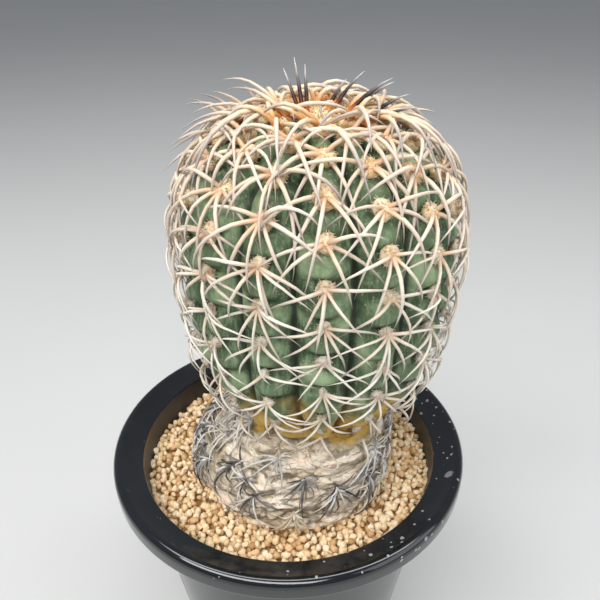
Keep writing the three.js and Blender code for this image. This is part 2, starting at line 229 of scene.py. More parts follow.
class Grower(Wiring):
    """A Geometry Nodes recipe with named inputs, used on one mesh after another."""

    def __init__(self, name: str) -> None:
        """Starts an empty recipe.

        Args:
            name: The recipe's name.
        """
        super().__init__(bpy.data.node_groups.new(name, "GeometryNodeTree"))
        self.tree.interface.new_socket("Geometry", in_out="INPUT", socket_type="NodeSocketGeometry")
        self.tree.interface.new_socket("Geometry", in_out="OUTPUT", socket_type="NodeSocketGeometry")
        self.entry = self.node("NodeGroupInput")
        self.exit = self.node("NodeGroupOutput")
        self.keys: dict[str, str] = {}

    def ask(self, name: str, kind: str, value: Any = None) -> bpy.types.NodeSocket:
        """Adds a named input.

        Args:
            name: The input's name.
            kind: Float, Int, Object or Material.
            value: Its usual value.

        Returns:
            The socket that gives it inside the recipe.
        """
        made = self.tree.interface.new_socket(name, in_out="INPUT", socket_type="NodeSocket" + kind)
        if value is not None:
            made.default_value = value
        self.keys[name] = made.identifier
        return self.entry.outputs[name]

    def stored(self, name: str, kind: str = "FLOAT") -> bpy.types.NodeSocket:
        """The socket of a named attribute."""
        return self.step("InputNamedAttribute", {"Name": name}, data_type=kind)

    def chance(self, low: Any, high: Any, seed: Any, kind: str = "FLOAT") -> bpy.types.NodeSocket:
        """A random value for each element.

        Args:
            low: The lowest value.
            high: The highest value.
            seed: What fixes the draw.
            kind: FLOAT, INT or FLOAT_VECTOR.

        Returns:
            The socket of the value.
        """
        lowest, highest, result = {"FLOAT_VECTOR": (0, 1, 0), "FLOAT": (2, 3, 1), "INT": (4, 5, 2)}[kind]
        draw = {lowest: low, highest: high, "Seed": seed}
        return self.node("FunctionNodeRandomValue", draw, data_type=kind).outputs[result]

    def sums(self, operation: str, first: Any, second: Any) -> bpy.types.NodeSocket:
        """Does one vector sum; a scale takes a number as its second value."""
        at = "Scale" if operation == "SCALE" else 1
        return self.node("ShaderNodeVectorMath", {0: first, at: second}, operation=operation).outputs[0]

    def step(self, kind: str, inputs: dict[Any, Any], **settings: Any) -> bpy.types.NodeSocket:
        """Adds one step of geometry and gives the socket of its result."""
        return self.node("GeometryNode" + kind, inputs, **settings).outputs[0]

    def together(self, *parts: bpy.types.NodeSocket) -> bpy.types.NodeSocket:
        """Puts several geometries together.

        Args:
            parts: Their sockets, in order.

        Returns:
            The socket of the whole.
        """
        made = self.node("GeometryNodeJoinGeometry")
        for part in parts:
            self.tree.links.new(part, made.inputs[0])
        return made.outputs[0]

    def close(self, geometry: bpy.types.NodeSocket, finish: Any) -> None:
        """Ends the recipe: copies are made real and take their finish."""
        real = self.step("RealizeInstances", {"Geometry": geometry})
        self.feed(self.exit.inputs[0], self.step("SetMaterial", {"Geometry": real, "Material": finish}))

    def grow(self, piece: bpy.types.Object, **values: Any) -> bpy.types.Object:
        """Runs the recipe on a piece and leaves the result as its plain mesh.

        Args:
            piece: The object whose mesh is the recipe's start.
            values: The named inputs, with _ for a space in a name.

        Returns:
            The same object with its grown mesh.
        """
        modifier = piece.modifiers.new(self.tree.name, "NODES")
        modifier.node_group = self.tree
        for name, value in values.items():
            modifier[self.keys[name.replace("_", " ")]] = value
        return settle(piece)


def settle(piece: bpy.types.Object) -> bpy.types.Object:
    """Turns a piece with live modifiers into a plain mesh of the same shape.

    Args:
        piece: The piece, whose mesh is replaced.

    Returns:
        The same piece, without modifiers.
    """
    depsgraph = bpy.context.evaluated_depsgraph_get()
    evaluated = piece.evaluated_get(depsgraph)
    mesh = bpy.data.meshes.new_from_object(evaluated, preserve_all_data_layers=True, depsgraph=depsgraph)
    piece.modifiers.clear()
    old = piece.data
    piece.data = mesh
    bpy.data.meshes.remove(old)
    mesh.name = piece.name
    return piece


def new_piece(
    name: str,
    points: np.ndarray,
    faces: Sequence[Sequence[int]] = (),
    edges: Sequence[Sequence[int]] = (),
    **layers: np.ndarray,
) -> bpy.types.Object:
    """Makes a mesh object from points in millimetres.

    Args:
        name: The object's name.
        points: One row for each point.
        faces: The corners of each face.
        edges: The ends of each loose edge.
        layers: Numbers or vectors that the points carry.

    Returns:
        The object, linked to the scene.
    """
    mesh = bpy.data.meshes.new(name)
    mesh.from_pydata((np.asarray(points) * MM).tolist(), edges, faces)
    for key, values in layers.items():
        flat = np.asarray(values, np.float32)
        kind, slot = ("FLOAT", "value") if flat.ndim == 1 else ("FLOAT_VECTOR", "vector")
        mesh.attributes.new(key, kind, "POINT").data.foreach_set(slot, flat.ravel())
    mesh.update()
    piece = bpy.data.objects.new(name, mesh)
    bpy.context.scene.collection.objects.link(piece)
    return piece


def ring_faces(rows: int, columns: int, closed: bool = False) -> list[tuple[int, ...]]:
    """Four-cornered faces over rows of points, each row running once round.

    Args:
        rows: How many rows there are.
        columns: How many points a row has.
        closed: Whether the last row is joined to the first.

    Returns:
        The corners of each face.
    """
    faces = []
    for row in range(rows if closed else rows - 1):
        here, there = row * columns, (row + 1) % rows * columns
        for i in range(columns):
            after = (i + 1) % columns
            faces.append((here + i, there + i, there + after, here + after))
    return faces


def dress(piece: bpy.types.Object, material: bpy.types.Material, sharp: float | None = None) -> None:
    """Gives a piece its only material and smooth shading.

    Args:
        piece: The piece.
        material: Its material.
        sharp: The angle in degrees past which an edge stays crisp, or None for none.
    """
    piece.data.materials.clear()
    piece.data.materials.append(material)
    piece.data.shade_smooth()
    if sharp is not None:
        piece.data.set_sharp_from_angle(angle=math.radians(sharp))


def place(piece: bpy.types.Object, slot: str, *nodes: str) -> None:
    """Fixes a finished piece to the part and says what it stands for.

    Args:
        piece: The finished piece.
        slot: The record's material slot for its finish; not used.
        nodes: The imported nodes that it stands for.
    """
    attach(piece, BODY)
    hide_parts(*nodes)
    triangles = sum(len(face.vertices) - 2 for face in piece.data.polygons)
    log.info("%s: %d triangles, stands for %s", piece.name, triangles, ", ".join(nodes))


def smoothstep(value: Any, low: float, high: float) -> Any:
    """Rises smoothly from 0 at low to 1 at high, for numbers or arrays."""
    share = np.clip((np.asarray(value, float) - low) / (high - low), 0, 1)
    return share * share * (3 - 2 * share)


def clouds(points: np.ndarray, scale: Sequence[float], octaves: int, seed: float) -> np.ndarray:
    """Layered noise from about -1 to 1 at each point, with a scale per millimetre along each axis."""
    moved = np.asarray(points, float) * np.asarray(scale, float) + seed
    return np.array([noise.fractal(Vector(p), 0.6, 2.1, octaves) for p in moved])


def creases(points: np.ndarray, scale: Sequence[float], seed: float) -> np.ndarray:
    """Long flowing creases at each point: 0 along a crease's bottom, up to 1 on the folds between."""
    return np.clip(np.abs(clouds(points, scale, 3, seed)) * 3.2, 0, 1)


# ---------------------------------------------------------------- finishes


@dataclass(frozen=True)
class GlossyPotPlastic:
    """Black moulded plastic with a thin film of dust and dried water specks on its rim."""

    body: Colour = (9, 13, 19)
    worn: Colour = (20, 24, 30)
    speck: Colour = (176, 180, 182)
    rim_height: float = 130.5
    rim_reach: float = 72.2
    mouth_reach: float = 62.2
    wall_height: float = 117.0
    speck_scale: float = 300.0
    speck_size: tuple[float, float] = (0.06, 0.27)
    speck_left: tuple[float, float] = (-60.0, 0.22)
    speck_right: tuple[float, float] = (55.0, 1.0)
    speck_strength: float = 0.6
    gloss: tuple[float, float] = (0.07, 0.14)
    film_haze: float = 0.06
    wall_haze: float = 0.34
    mark: tuple[float, float, float] = (0.0657, -0.0251, 0.1334)
    mark_radius: float = 3.0
    mark_strength: float = 0.45

    def material(self) -> bpy.types.Material:
        """Builds the finish.

        Returns:
            The node material.
        """
        shade = Shade("pot_plastic")
        haze = shade.grain(26, 5, 0.6)
        axes = shade.node("ShaderNodeSeparateXYZ", {0: shade.place}).outputs
        on_rim = shade.span(axes[2], self.rim_height * MM, (self.rim_height + 1) * MM)
        pale = shade.maths("MAXIMUM", self.specks(shade, axes[0], on_rim), self.dried_mark(shade))
        clean = shade.blend(shade.span(haze, 0.42, 0.75), self.body, self.worn)
        colour = shade.blend(pale, clean, self.speck)
        squares = shade.maths("MULTIPLY_ADD", axes[0], axes[0], shade.maths("MULTIPLY", axes[1], axes[1]))
        radius = shade.maths("SQRT", squares)
        edge = shade.span(radius, (self.rim_reach - 1) * MM, self.rim_reach * MM)
        film = shade.maths("MULTIPLY", shade.maths("SUBTRACT", 1.0, edge), on_rim)
        within = shade.span(radius, self.mouth_reach * MM, (self.mouth_reach + 1) * MM, self.wall_haze, 0.0)
        high = shade.span(axes[2], self.wall_height * MM, (self.wall_height + 2) * MM)
        rough = shade.maths("MULTIPLY_ADD", film, self.film_haze, shade.span(haze, 0.3, 0.8, *self.gloss))
        rough = shade.maths("ADD", rough, shade.maths("MULTIPLY", within, high))
        rough = shade.maths("MULTIPLY_ADD", pale, 0.6, rough)
        fine = shade.bumps(shade.grain(900, 2), 0.02, 0.5)
        shine = {"IOR": 1.54, "Specular_IOR_Level": 0.7}
        return shade.surface(Base_Color=colour, Roughness=rough, Normal=fine, **shine)

    def specks(self, shade: Shade, across: Any, on_rim: Any) -> bpy.types.NodeSocket:
        """Dried drops of many sizes on the rim, more of them towards its right.

        Args:
            shade: The material being built.
            across: Each point's place from left to right.
            on_rim: 1 on the rim and 0 below it.

        Returns:
            How pale the specks make each point.
        """
        (left, few), (right, many) = self.speck_left, self.speck_right
        to_right = shade.span(across, left * MM, right * MM, few, many)
        size = shade.span(shade.grain(140, 2), 0.34, 0.66, *self.speck_size)
        size = shade.maths("MULTIPLY", size, to_right)
        spot = shade.maths("LESS_THAN", shade.cells(self.speck_scale), size)
        return shade.maths("MULTIPLY", shade.maths("MULTIPLY", spot, on_rim), self.speck_strength)

    def dried_mark(self, shade: Shade) -> bpy.types.NodeSocket:
        """The one large ragged water mark, with a paler border.

        Args:
            shade: The material being built.

        Returns:
            How pale the mark makes each point.
        """
        inputs = {0: shade.place, 1: self.mark}
        away = shade.node("ShaderNodeVectorMath", inputs, operation="DISTANCE").outputs["Value"]
        ragged = shade.maths("MULTIPLY_ADD", shade.grain(500, 3), 0.0022, away)
        size, pale = self.mark_radius * MM, self.mark_strength
        inside = shade.span(ragged, size - 0.0004, size + 0.0004, pale, 0.0)
        return shade.maths("MULTIPLY", inside, shade.span(ragged, 0.0, size, pale, 1.0))


@dataclass(frozen=True)
class ClayGranule:
    """Baked clay granules, each with a tint of its own, over a bed painted in a dark gap colour as painted
    shade between them.
    """

    gap: Colour = (132, 98, 60)
    dark: Colour = (204, 164, 116)
    middle: Colour = (242, 212, 166)
    light: Colour = (250, 228, 190)
    pale: Colour = (255, 240, 212)

    def material(self) -> bpy.types.Material:
        """Builds the finish.

        Returns:
            The node material.
        """
        shade = Shade("granules")
        tint = shade.attribute("tint")
        colours = (self.gap, self.dark, self.middle, self.light, self.pale)
        # Tint 0, which the bare bed under the loose granules reads, takes the dark gap colour: painted
        # shade between the granules.
        base = shade.ramp(tint, zip((0.0, 0.02, 0.3, 0.65, 1.0), colours))
        pores = shade.grain(1400, 5, 0.65)
        colour = shade.blend(shade.span(pores, 0.35, 0.6, 0.55, 0.0), base, self.dark)
        grain = shade.bumps(pores, 0.35, 0.8)
        return shade.surface(Base_Color=colour, Roughness=0.92, Normal=grain, Specular_IOR_Level=0.25)


@dataclass(frozen=True)
class SoilFinish:
    """Loose earth or gravel, in crumbs of a few colours; its name is its material slot's too."""

    name: str
    colours: tuple[Colour, Colour, Colour]
    crumbs: float

    def material(self) -> bpy.types.Material:
        """Builds the finish.

        Returns:
            The node material.
        """
        shade = Shade(self.name)
        crumb = shade.cells(self.crumbs, output="Color")
        pick = shade.node("ShaderNodeSeparateColor", {0: crumb}).outputs[0]
        stops = [(0.1, self.colours[0]), (0.5, self.colours[1]), (0.9, self.colours[2])]
        edge = shade.cells(self.crumbs)
        # Each crumb darkens towards its border in its darkest colour: painted shade between the crumbs.
        colour = shade.blend(shade.span(edge, 0.3, 0.8, 0.0, 0.8), shade.ramp(pick, stops), self.colours[0])
        relief = shade.bumps(shade.maths("SUBTRACT", 1.0, edge), 1.5, 0.9)
        return shade.surface(Base_Color=colour, Roughness=0.95, Normal=relief)


GRAVEL = SoilFinish("gravel", ((96, 88, 78), (142, 134, 122), (186, 178, 164)), 190)
POTTING_MIX = SoilFinish("potting_mix", ((52, 38, 28), (92, 68, 48), (138, 108, 78)), 260)


@dataclass(frozen=True)
class CactusSkin:
    """The plant's skin: dull green, yellowing low down, papery cork on the old base; painted shade in its
    hollows and creases, painted highlight on its chins.
    """

    deep: Colour = (34, 52, 32)
    green: Colour = (66, 88, 60)
    light: Colour = (160, 182, 142)
    freckle: Colour = (176, 184, 152)
    ochre: Colour = (200, 158, 70)
    ochre_dark: Colour = (104, 74, 34)
    ochre_pale: Colour = (226, 196, 116)
    cork_dark: Colour = (96, 82, 62)
    cork: Colour = (206, 190, 166)
    cork_pale: Colour = (244, 232, 214)
    cork_pink: Colour = (238, 192, 166)
    stain: Colour = (138, 124, 92)
    valley: Colour = (24, 32, 22)
    cork_shade: Colour = (72, 62, 48)

    def material(self) -> bpy.types.Material:
        """Builds the finish.

        Returns:
            The node material.
        """
        shade = Shade("cactus_skin")
        groove = shade.attribute("groove")
        mottle = shade.grain(70, 5, 0.6)
        streaks = shade.grain(150, 3, 0.5, shade.stretched((5.0, 5.0, 0.9)))
        body = shade.ramp(mottle, [(0.32, self.deep), (0.5, self.green), (0.68, self.light)])
        body = shade.blend(shade.span(streaks, 0.45, 0.7, 0.0, 0.4), body, self.light)
        speck = shade.maths("LESS_THAN", shade.cells(520), 0.17)
        body = shade.blend(shade.maths("MULTIPLY", speck, 0.4), body, self.freckle)
        # The chins are lightened: painted highlight on each bulge.
        body = shade.blend(shade.maths("MULTIPLY", shade.attribute("chin"), 0.34), body, self.light)
        # Painted shade in the valley colour, down every hollow between ribs and along the creases.
        body = shade.blend(shade.span(groove, 0.15, 0.8, 0.0, 0.88), body, self.valley)
        patch = shade.grain(95, 4, 0.6)
        ochre = shade.ramp(patch, [(0.36, self.ochre_dark), (0.5, self.ochre), (0.7, self.ochre_pale)])
        # The yellowed neck takes painted shade in the same hollows, in its darkest ochre.
        ochre = shade.blend(shade.span(groove, 0.12, 0.7, 0.0, 0.9), ochre, self.ochre_dark)
        skin = shade.blend(shade.attribute("yellow"), body, ochre)
        return self.with_cork(shade, skin, groove)

    def with_cork(self, shade: Shade, skin: Any, groove: Any) -> bpy.types.Material:
        """Adds the cork of the old base.

        Args:
            shade: The material being built.
            skin: The colour of the living skin.
            groove: How much painted shade a point takes, deep in a hollow or crease.

        Returns:
            The finished material.
        """
        corky = shade.attribute("cork")
        folds = shade.stretched((1.0, 1.0, 3.4))
        sheets = shade.grain(60, 6, 0.62, folds, 0.8)
        crumple = shade.cells(150, "DISTANCE_TO_EDGE", folds)
        stops = [(0.32, self.cork_dark), (0.44, self.cork), (0.56, self.cork_pale), (0.68, self.cork_pink)]
        bark = shade.ramp(sheets, stops)
        # Thin dark lines along the crumple creases: painted shade in the creases.
        bark = shade.blend(shade.span(crumple, 0.0, 0.07, 0.32, 0.0), bark, self.cork_dark)
        stain = shade.grain(34, 4, 0.65, folds, 1.5)
        bark = shade.blend(shade.span(stain, 0.5, 0.72, 0.0, 0.6), bark, self.stain)
        thread = shade.grain(190, 3, 0.6, shade.stretched((0.5, 0.5, 2.6)), 0.6)
        bark = shade.blend(shade.span(thread, 0.5, 0.6, 0.0, 0.6), bark, self.cork_dark)
        # Painted shade in the cork's creases and hollows.
        bark = shade.blend(shade.span(groove, 0.2, 0.95, 0.0, 0.7), bark, self.cork_shade)
        colour = shade.blend(corky, skin, bark)
        fine = shade.grain(620, 4, 0.6)
        relief = shade.maths("MULTIPLY_ADD", shade.maths("MULTIPLY", sheets, corky), 2.2, fine)
        normal = shade.bumps(relief, 0.5, 0.55)
        rough = shade.maths("MULTIPLY_ADD", corky, 0.35, 0.55)
        return shade.surface(Base_Color=colour, Roughness=rough, Normal=normal, Specular_IOR_Level=0.3)


@dataclass(frozen=True)
class WoolFinish:
    """Short felted wool, orange while it is young and grey when it is old."""

    young: Colour = (248, 216, 164)
    young_deep: Colour = (228, 168, 100)
    young_pale: Colour = (252, 238, 210)
    old_pale: Colour = (236, 228, 214)
    old: Colour = (212, 200, 182)
    old_deep: Colour = (150, 130, 110)

    def material(self) -> bpy.types.Material:
        """Builds the finish.

        Returns:
            The node material.
        """
        shade = Shade("wool")
        tufts = shade.grain(420, 4, 0.65)
        fresh = shade.ramp(tufts, [(0.3, self.young_deep), (0.46, self.young), (0.66, self.young_pale)])
        worn = shade.ramp(tufts, [(0.32, self.old_deep), (0.5, self.old), (0.7, self.old_pale)])
        colour = shade.blend(shade.attribute("age"), fresh, worn)
        relief = shade.bumps(shade.grain(1500, 3, 0.7), 0.5, 0.9)
        return shade.surface(Base_Color=colour, Roughness=0.95, Normal=relief, Sheen_Weight=0.25)


@dataclass(frozen=True)
class SpineFinish:
    """Horny spines: tan at the root, ivory along, grey at the tip; golden or dark at the crown."""

    root: Colour = (218, 156, 98)
    young: Colour = (228, 210, 184)
    outer: Colour = (204, 190, 180)
    old_root: Colour = (192, 172, 150)
    old: Colour = (234, 228, 216)
    tip: Colour = (122, 112, 104)
    gold: Colour = (198, 112, 44)
    gold_pale: Colour = (216, 164, 106)
    grey: Colour = (150, 144, 140)
    pink: Colour = (198, 176, 154)
    band: Colour = (186, 156, 128)
    dark_root: Colour = (226, 150, 70)
    dark_amber: Colour = (196, 100, 36)
    dark_brown: Colour = (76, 28, 14)
    dark: Colour = (30, 16, 14)
    dark_grey: Colour = (110, 102, 100)
    dark_tip: Colour = (222, 218, 214)

    def material(self) -> bpy.types.Material:
        """Builds the finish.

        Returns:
            The node material.
        """
        shade = Shade("spine")
        along, age, tint, dusk = (shade.attribute(key) for key in ("along", "age", "tint", "dusk"))
        fresh = shade.ramp(along, zip((0.0, 0.25, 0.7, 1.0), (self.root, self.young, self.outer, self.tip)))
        worn = shade.ramp(along, zip((0.0, 0.2, 0.75, 1.0), (self.old_root, self.old, self.old, self.tip)))
        colour = shade.blend(age, fresh, worn)
        colour = shade.blend(shade.span(tint, 0.1, 0.9, 0.0, 0.42), colour, self.pink)
        outwards = shade.span(along, 0.35, 0.8, 0.0, 0.8)
        greying = shade.maths("MULTIPLY", shade.span(tint, 0.55, 0.8), outwards)
        colour = shade.blend(greying, colour, self.grey)
        colour = shade.blend(shade.span(shade.grain(240, 3, 0.6), 0.5, 0.75, 0.0, 0.3), colour, self.band)
        colours = (self.gold, self.gold_pale, self.young, self.outer, self.grey)
        amber = shade.ramp(along, zip((0.0, 0.13, 0.36, 0.7, 1.0), colours))
        amber = shade.blend(greying, amber, self.grey)
        colour = shade.blend(shade.span(dusk, 0.0, 0.5), colour, amber)
        browns = (self.dark_root, self.dark_amber, self.dark_brown)
        greys = (self.dark, self.dark_grey, self.dark_tip)
        dark = shade.ramp(along, zip((0.0, 0.14, 0.28, 0.46, 0.66, 1.0), browns + greys))
        colour = shade.blend(shade.span(dusk, 0.5, 1.0), colour, dark)
        normal = shade.bumps(shade.grain(700, 3, 0.6), 0.12, 0.5)
        return shade.surface(Base_Color=colour, Roughness=0.5, Normal=normal, Specular_IOR_Level=0.4)


@dataclass(frozen=True)
class WeatheredSpineFinish:
    """Old thin spines, from near black through grey to bleached white."""

    black: Colour = (50, 44, 42)
    grey: Colour = (142, 138, 134)
    white: Colour = (224, 222, 218)
    straw: Colour = (206, 186, 150)

    def material(self) -> bpy.types.Material:
        """Builds the finish.

        Returns:
            The node material.
        """
        shade = Shade("old_spine")
        tint = shade.attribute("tint")
        base = shade.ramp(tint, zip((0.0, 0.38, 0.7, 1.0), (self.black, self.grey, self.white, self.straw)))
        patch = shade.grain(300, 4, 0.6)
        colour = shade.blend(shade.span(patch, 0.45, 0.7, 0.0, 0.55), base, self.grey)
        normal = shade.bumps(shade.grain(900, 3), 0.12, 0.5)
        return shade.surface(Base_Color=colour, Roughness=0.7, Normal=normal)


@dataclass(frozen=True)
class StudioFloorFinish:
    """A plain pale floor with the faintest unevenness."""

    pale: Colour = (212, 212, 211)
    less_pale: Colour = (206, 206, 205)

    def material(self) -> bpy.types.Material:
        """Builds the finish.

        Returns:
            The node material.
        """
        shade = Shade("studio_floor")
        colour = shade.blend(shade.grain(3, 3), self.pale, self.less_pale)
        return shade.surface(Base_Color=colour, Roughness=0.8)


# ------------------------------------------------------------- the plant's form


@dataclass
class Seat:
    """A place on the skin, in millimetres, with unit directions down the rib and outwards."""

    distance: float
    angle: float
    point: np.ndarray
    down: np.ndarray
    out: np.ndarray


@dataclass
class PlantForm:
    """The rule that the skin and every areole follow: outline, ribs and spacing, in millimetres.

    Angle 0 is the front of the pot and angles grow towards +X. Distances run down the skin from the crown.
    """

    outline: tuple[tuple[float, float], ...] = (
        (0, 273), (15, 272), (28, 268), (37.4, 261), (45, 250), (48.5, 236), (48.6, 220), (47.2, 203),
        (44.6, 186), (41.4, 177), (36.5, 170), (33, 164), (30, 159), (25.8, 155.8), (23.6, 153.6),
        (26.2, 151.4), (30.5, 148.4), (34.2, 144.4), (37, 139.4), (38.9, 133.5), (39.4, 127.5),
        (38.6, 121), (34, 110), (22, 94), (12, 74), (5, 57), (0, 48),
    )
    ribs: int = 15
    rib_depth: float = 4.2
    pitch: float = 13.5
    first: float = 15.0
    turn: float = 0.4
    crown_limit: float = 19.0
    neck_limit: float = 142.0
    neck_height: float = 153.6
    soil_height: float = 122.0
    foot_height: float = 118.0
    mouth_height: float = 132.0
    old_lowest: float = 9.5
    old_reach: float = 31.0
    foot_centre: tuple[float, float] = (1.5, -1.0)
    body_centre: tuple[float, float] = (11.5, 0.0)
    lean_from: float = 134.0
    lean_to: float = 155.0
    samples: int = 40
    slope_step: float = 1.5
    hanging: tuple[tuple[float, float], ...] = ((41.4, 177), (39, 168), (37.5, 159), (37, 150), (37, 130))

    def __post_init__(self) -> None:
        """Measures the outline and the hanging outline that low spines follow."""
        self.distances, self.curve = self.measured(self.outline)
        kept = [p for p in self.outline if p[1] > self.hanging[0][1]]
        self.hang_distances, self.hang_curve = self.measured([*kept, *self.hanging])
        self.neck = self.distance_at(self.neck_height)
        self.soil = self.distance_at(self.soil_height)
        self.rib_turn = 2 * math.pi / self.ribs

    def measured(self, points: Sequence[tuple[float, float]]) -> tuple[np.ndarray, np.ndarray]:
        """Runs a smooth curve through points and measures it.

        Args:
            points: Radius and height of each point, from the crown down.

        Returns:
            Distance along the curve, and radius and height, at close steps.
        """
        given = np.array(points, float)
        padded = np.vstack([given[:1], given, given[-1:]])
        share = np.arange(self.samples)[:, None] / self.samples
        parts = []
        for i in range(len(given) - 1):
            a, b, c, d = padded[i : i + 4]
            rise, fall = (c - a) / 2, (d - b) / 2
            cubed = 2 * b - 2 * c + rise + fall
            squared = 3 * c - 3 * b - 2 * rise - fall
            parts.append(cubed * share**3 + squared * share**2 + rise * share + b)
        curve = np.vstack([*parts, given[-1:]])
        steps = np.linalg.norm(np.diff(curve, axis=0), axis=1)
        return np.concatenate([[0], np.cumsum(steps)]), curve

    def distance_at(self, height: float) -> float:
        """The distance from the crown at which the skin reaches a height."""
        return float(np.interp(-height, -self.curve[:, 1], self.distances))

    def profile(self, distance: Any, hanging: bool = False) -> tuple[np.ndarray, np.ndarray]:
        """Radius and height at distances from the crown, on the skin or on the hanging outline."""
        steps, curve = (self.hang_distances, self.hang_curve) if hanging else (self.distances, self.curve)
        return np.interp(distance, steps, curve[:, 0]), np.interp(distance, steps, curve[:, 1])

    def centre(self, height: Any) -> tuple[np.ndarray, np.ndarray]:
        """Where the plant's middle line stands.

        Args:
            height: A height or an array of them.

        Returns:
            Its places to the right and to the back.
        """
        share = smoothstep(height, self.lean_from, self.lean_to)
        start, end = self.foot_centre, self.body_centre
        return start[0] + (end[0] - start[0]) * share, start[1] + (end[1] - start[1]) * share

    def points(self, distance: Any, angle: Any, lift: Any = 0.0, hanging: bool = False) -> np.ndarray:
        """Points over the smooth skin.

        Args:
            distance: Distances from the crown.
            angle: Angles round the plant.
            lift: How far outside the skin each point is.
            hanging: Whether they follow the hanging outline.

        Returns:
            One row for each point.
        """
        radius, height = self.profile(distance, hanging)
        steps = np.asarray(distance)
        before = self.profile(steps - self.slope_step, hanging)
        after = self.profile(steps + self.slope_step, hanging)
        across, fall = after[0] - before[0], before[1] - after[1]
        length = np.hypot(across, fall) + 1e-9
        centre_x, centre_y = self.centre(height)
        reach = radius + lift * fall / length
        up = height + lift * across / length
        return np.stack([centre_x + reach * np.sin(angle), centre_y - reach * np.cos(angle), up], -1)

    def seat(self, distance: float, angle: float) -> Seat:
        """The seat of an areole.

        Args:
            distance: Its distance from the crown.
            angle: Its angle round the plant.

        Returns:
            Its place, with its directions.
        """
        point = self.points(distance, angle)
        step = self.points(distance + 1, angle) - self.points(distance - 1, angle)
        down = step / np.linalg.norm(step)
        side = np.array([math.cos(angle), math.sin(angle), 0.0])
        return Seat(distance, angle, point, down, np.cross(down, side))

    def row(self, rib: int) -> list[float]:
        """Distances of all the areoles of one rib, from the crown to the neck."""
        start = self.first + ((self.turn * rib) % 1 - 1) * self.pitch
        return [float(d) for d in start + self.pitch * np.arange(14) if 3.0 < d < self.neck_limit]

    def areoles(self, rib: int) -> list[float]:
        """Distances of the areoles down one rib of the green body."""
        return [d for d in self.row(rib) if d > self.crown_limit]

    def crown_areoles(self, rib: int) -> list[float]:
        """Distances of the crowded young areoles at the top of one rib."""
        return [d for d in self.row(rib) if d <= self.crown_limit]

    def old_areoles(self, rib: int) -> list[float]:
        """The old areoles on one rib of the corky base.

        Args:
            rib: The rib's number, from 0.

        Returns:
            Their distances from the crown, from the top down.
        """
        lag = (self.turn * rib) % 1
        low = self.old_lowest + ((1 - lag) * self.pitch) % self.pitch
        heights = low + self.pitch * np.arange(3)
        return [float(self.soil - h) for h in heights[::-1] if h < self.old_reach]


# ---------------------------------------------------------------------- pot


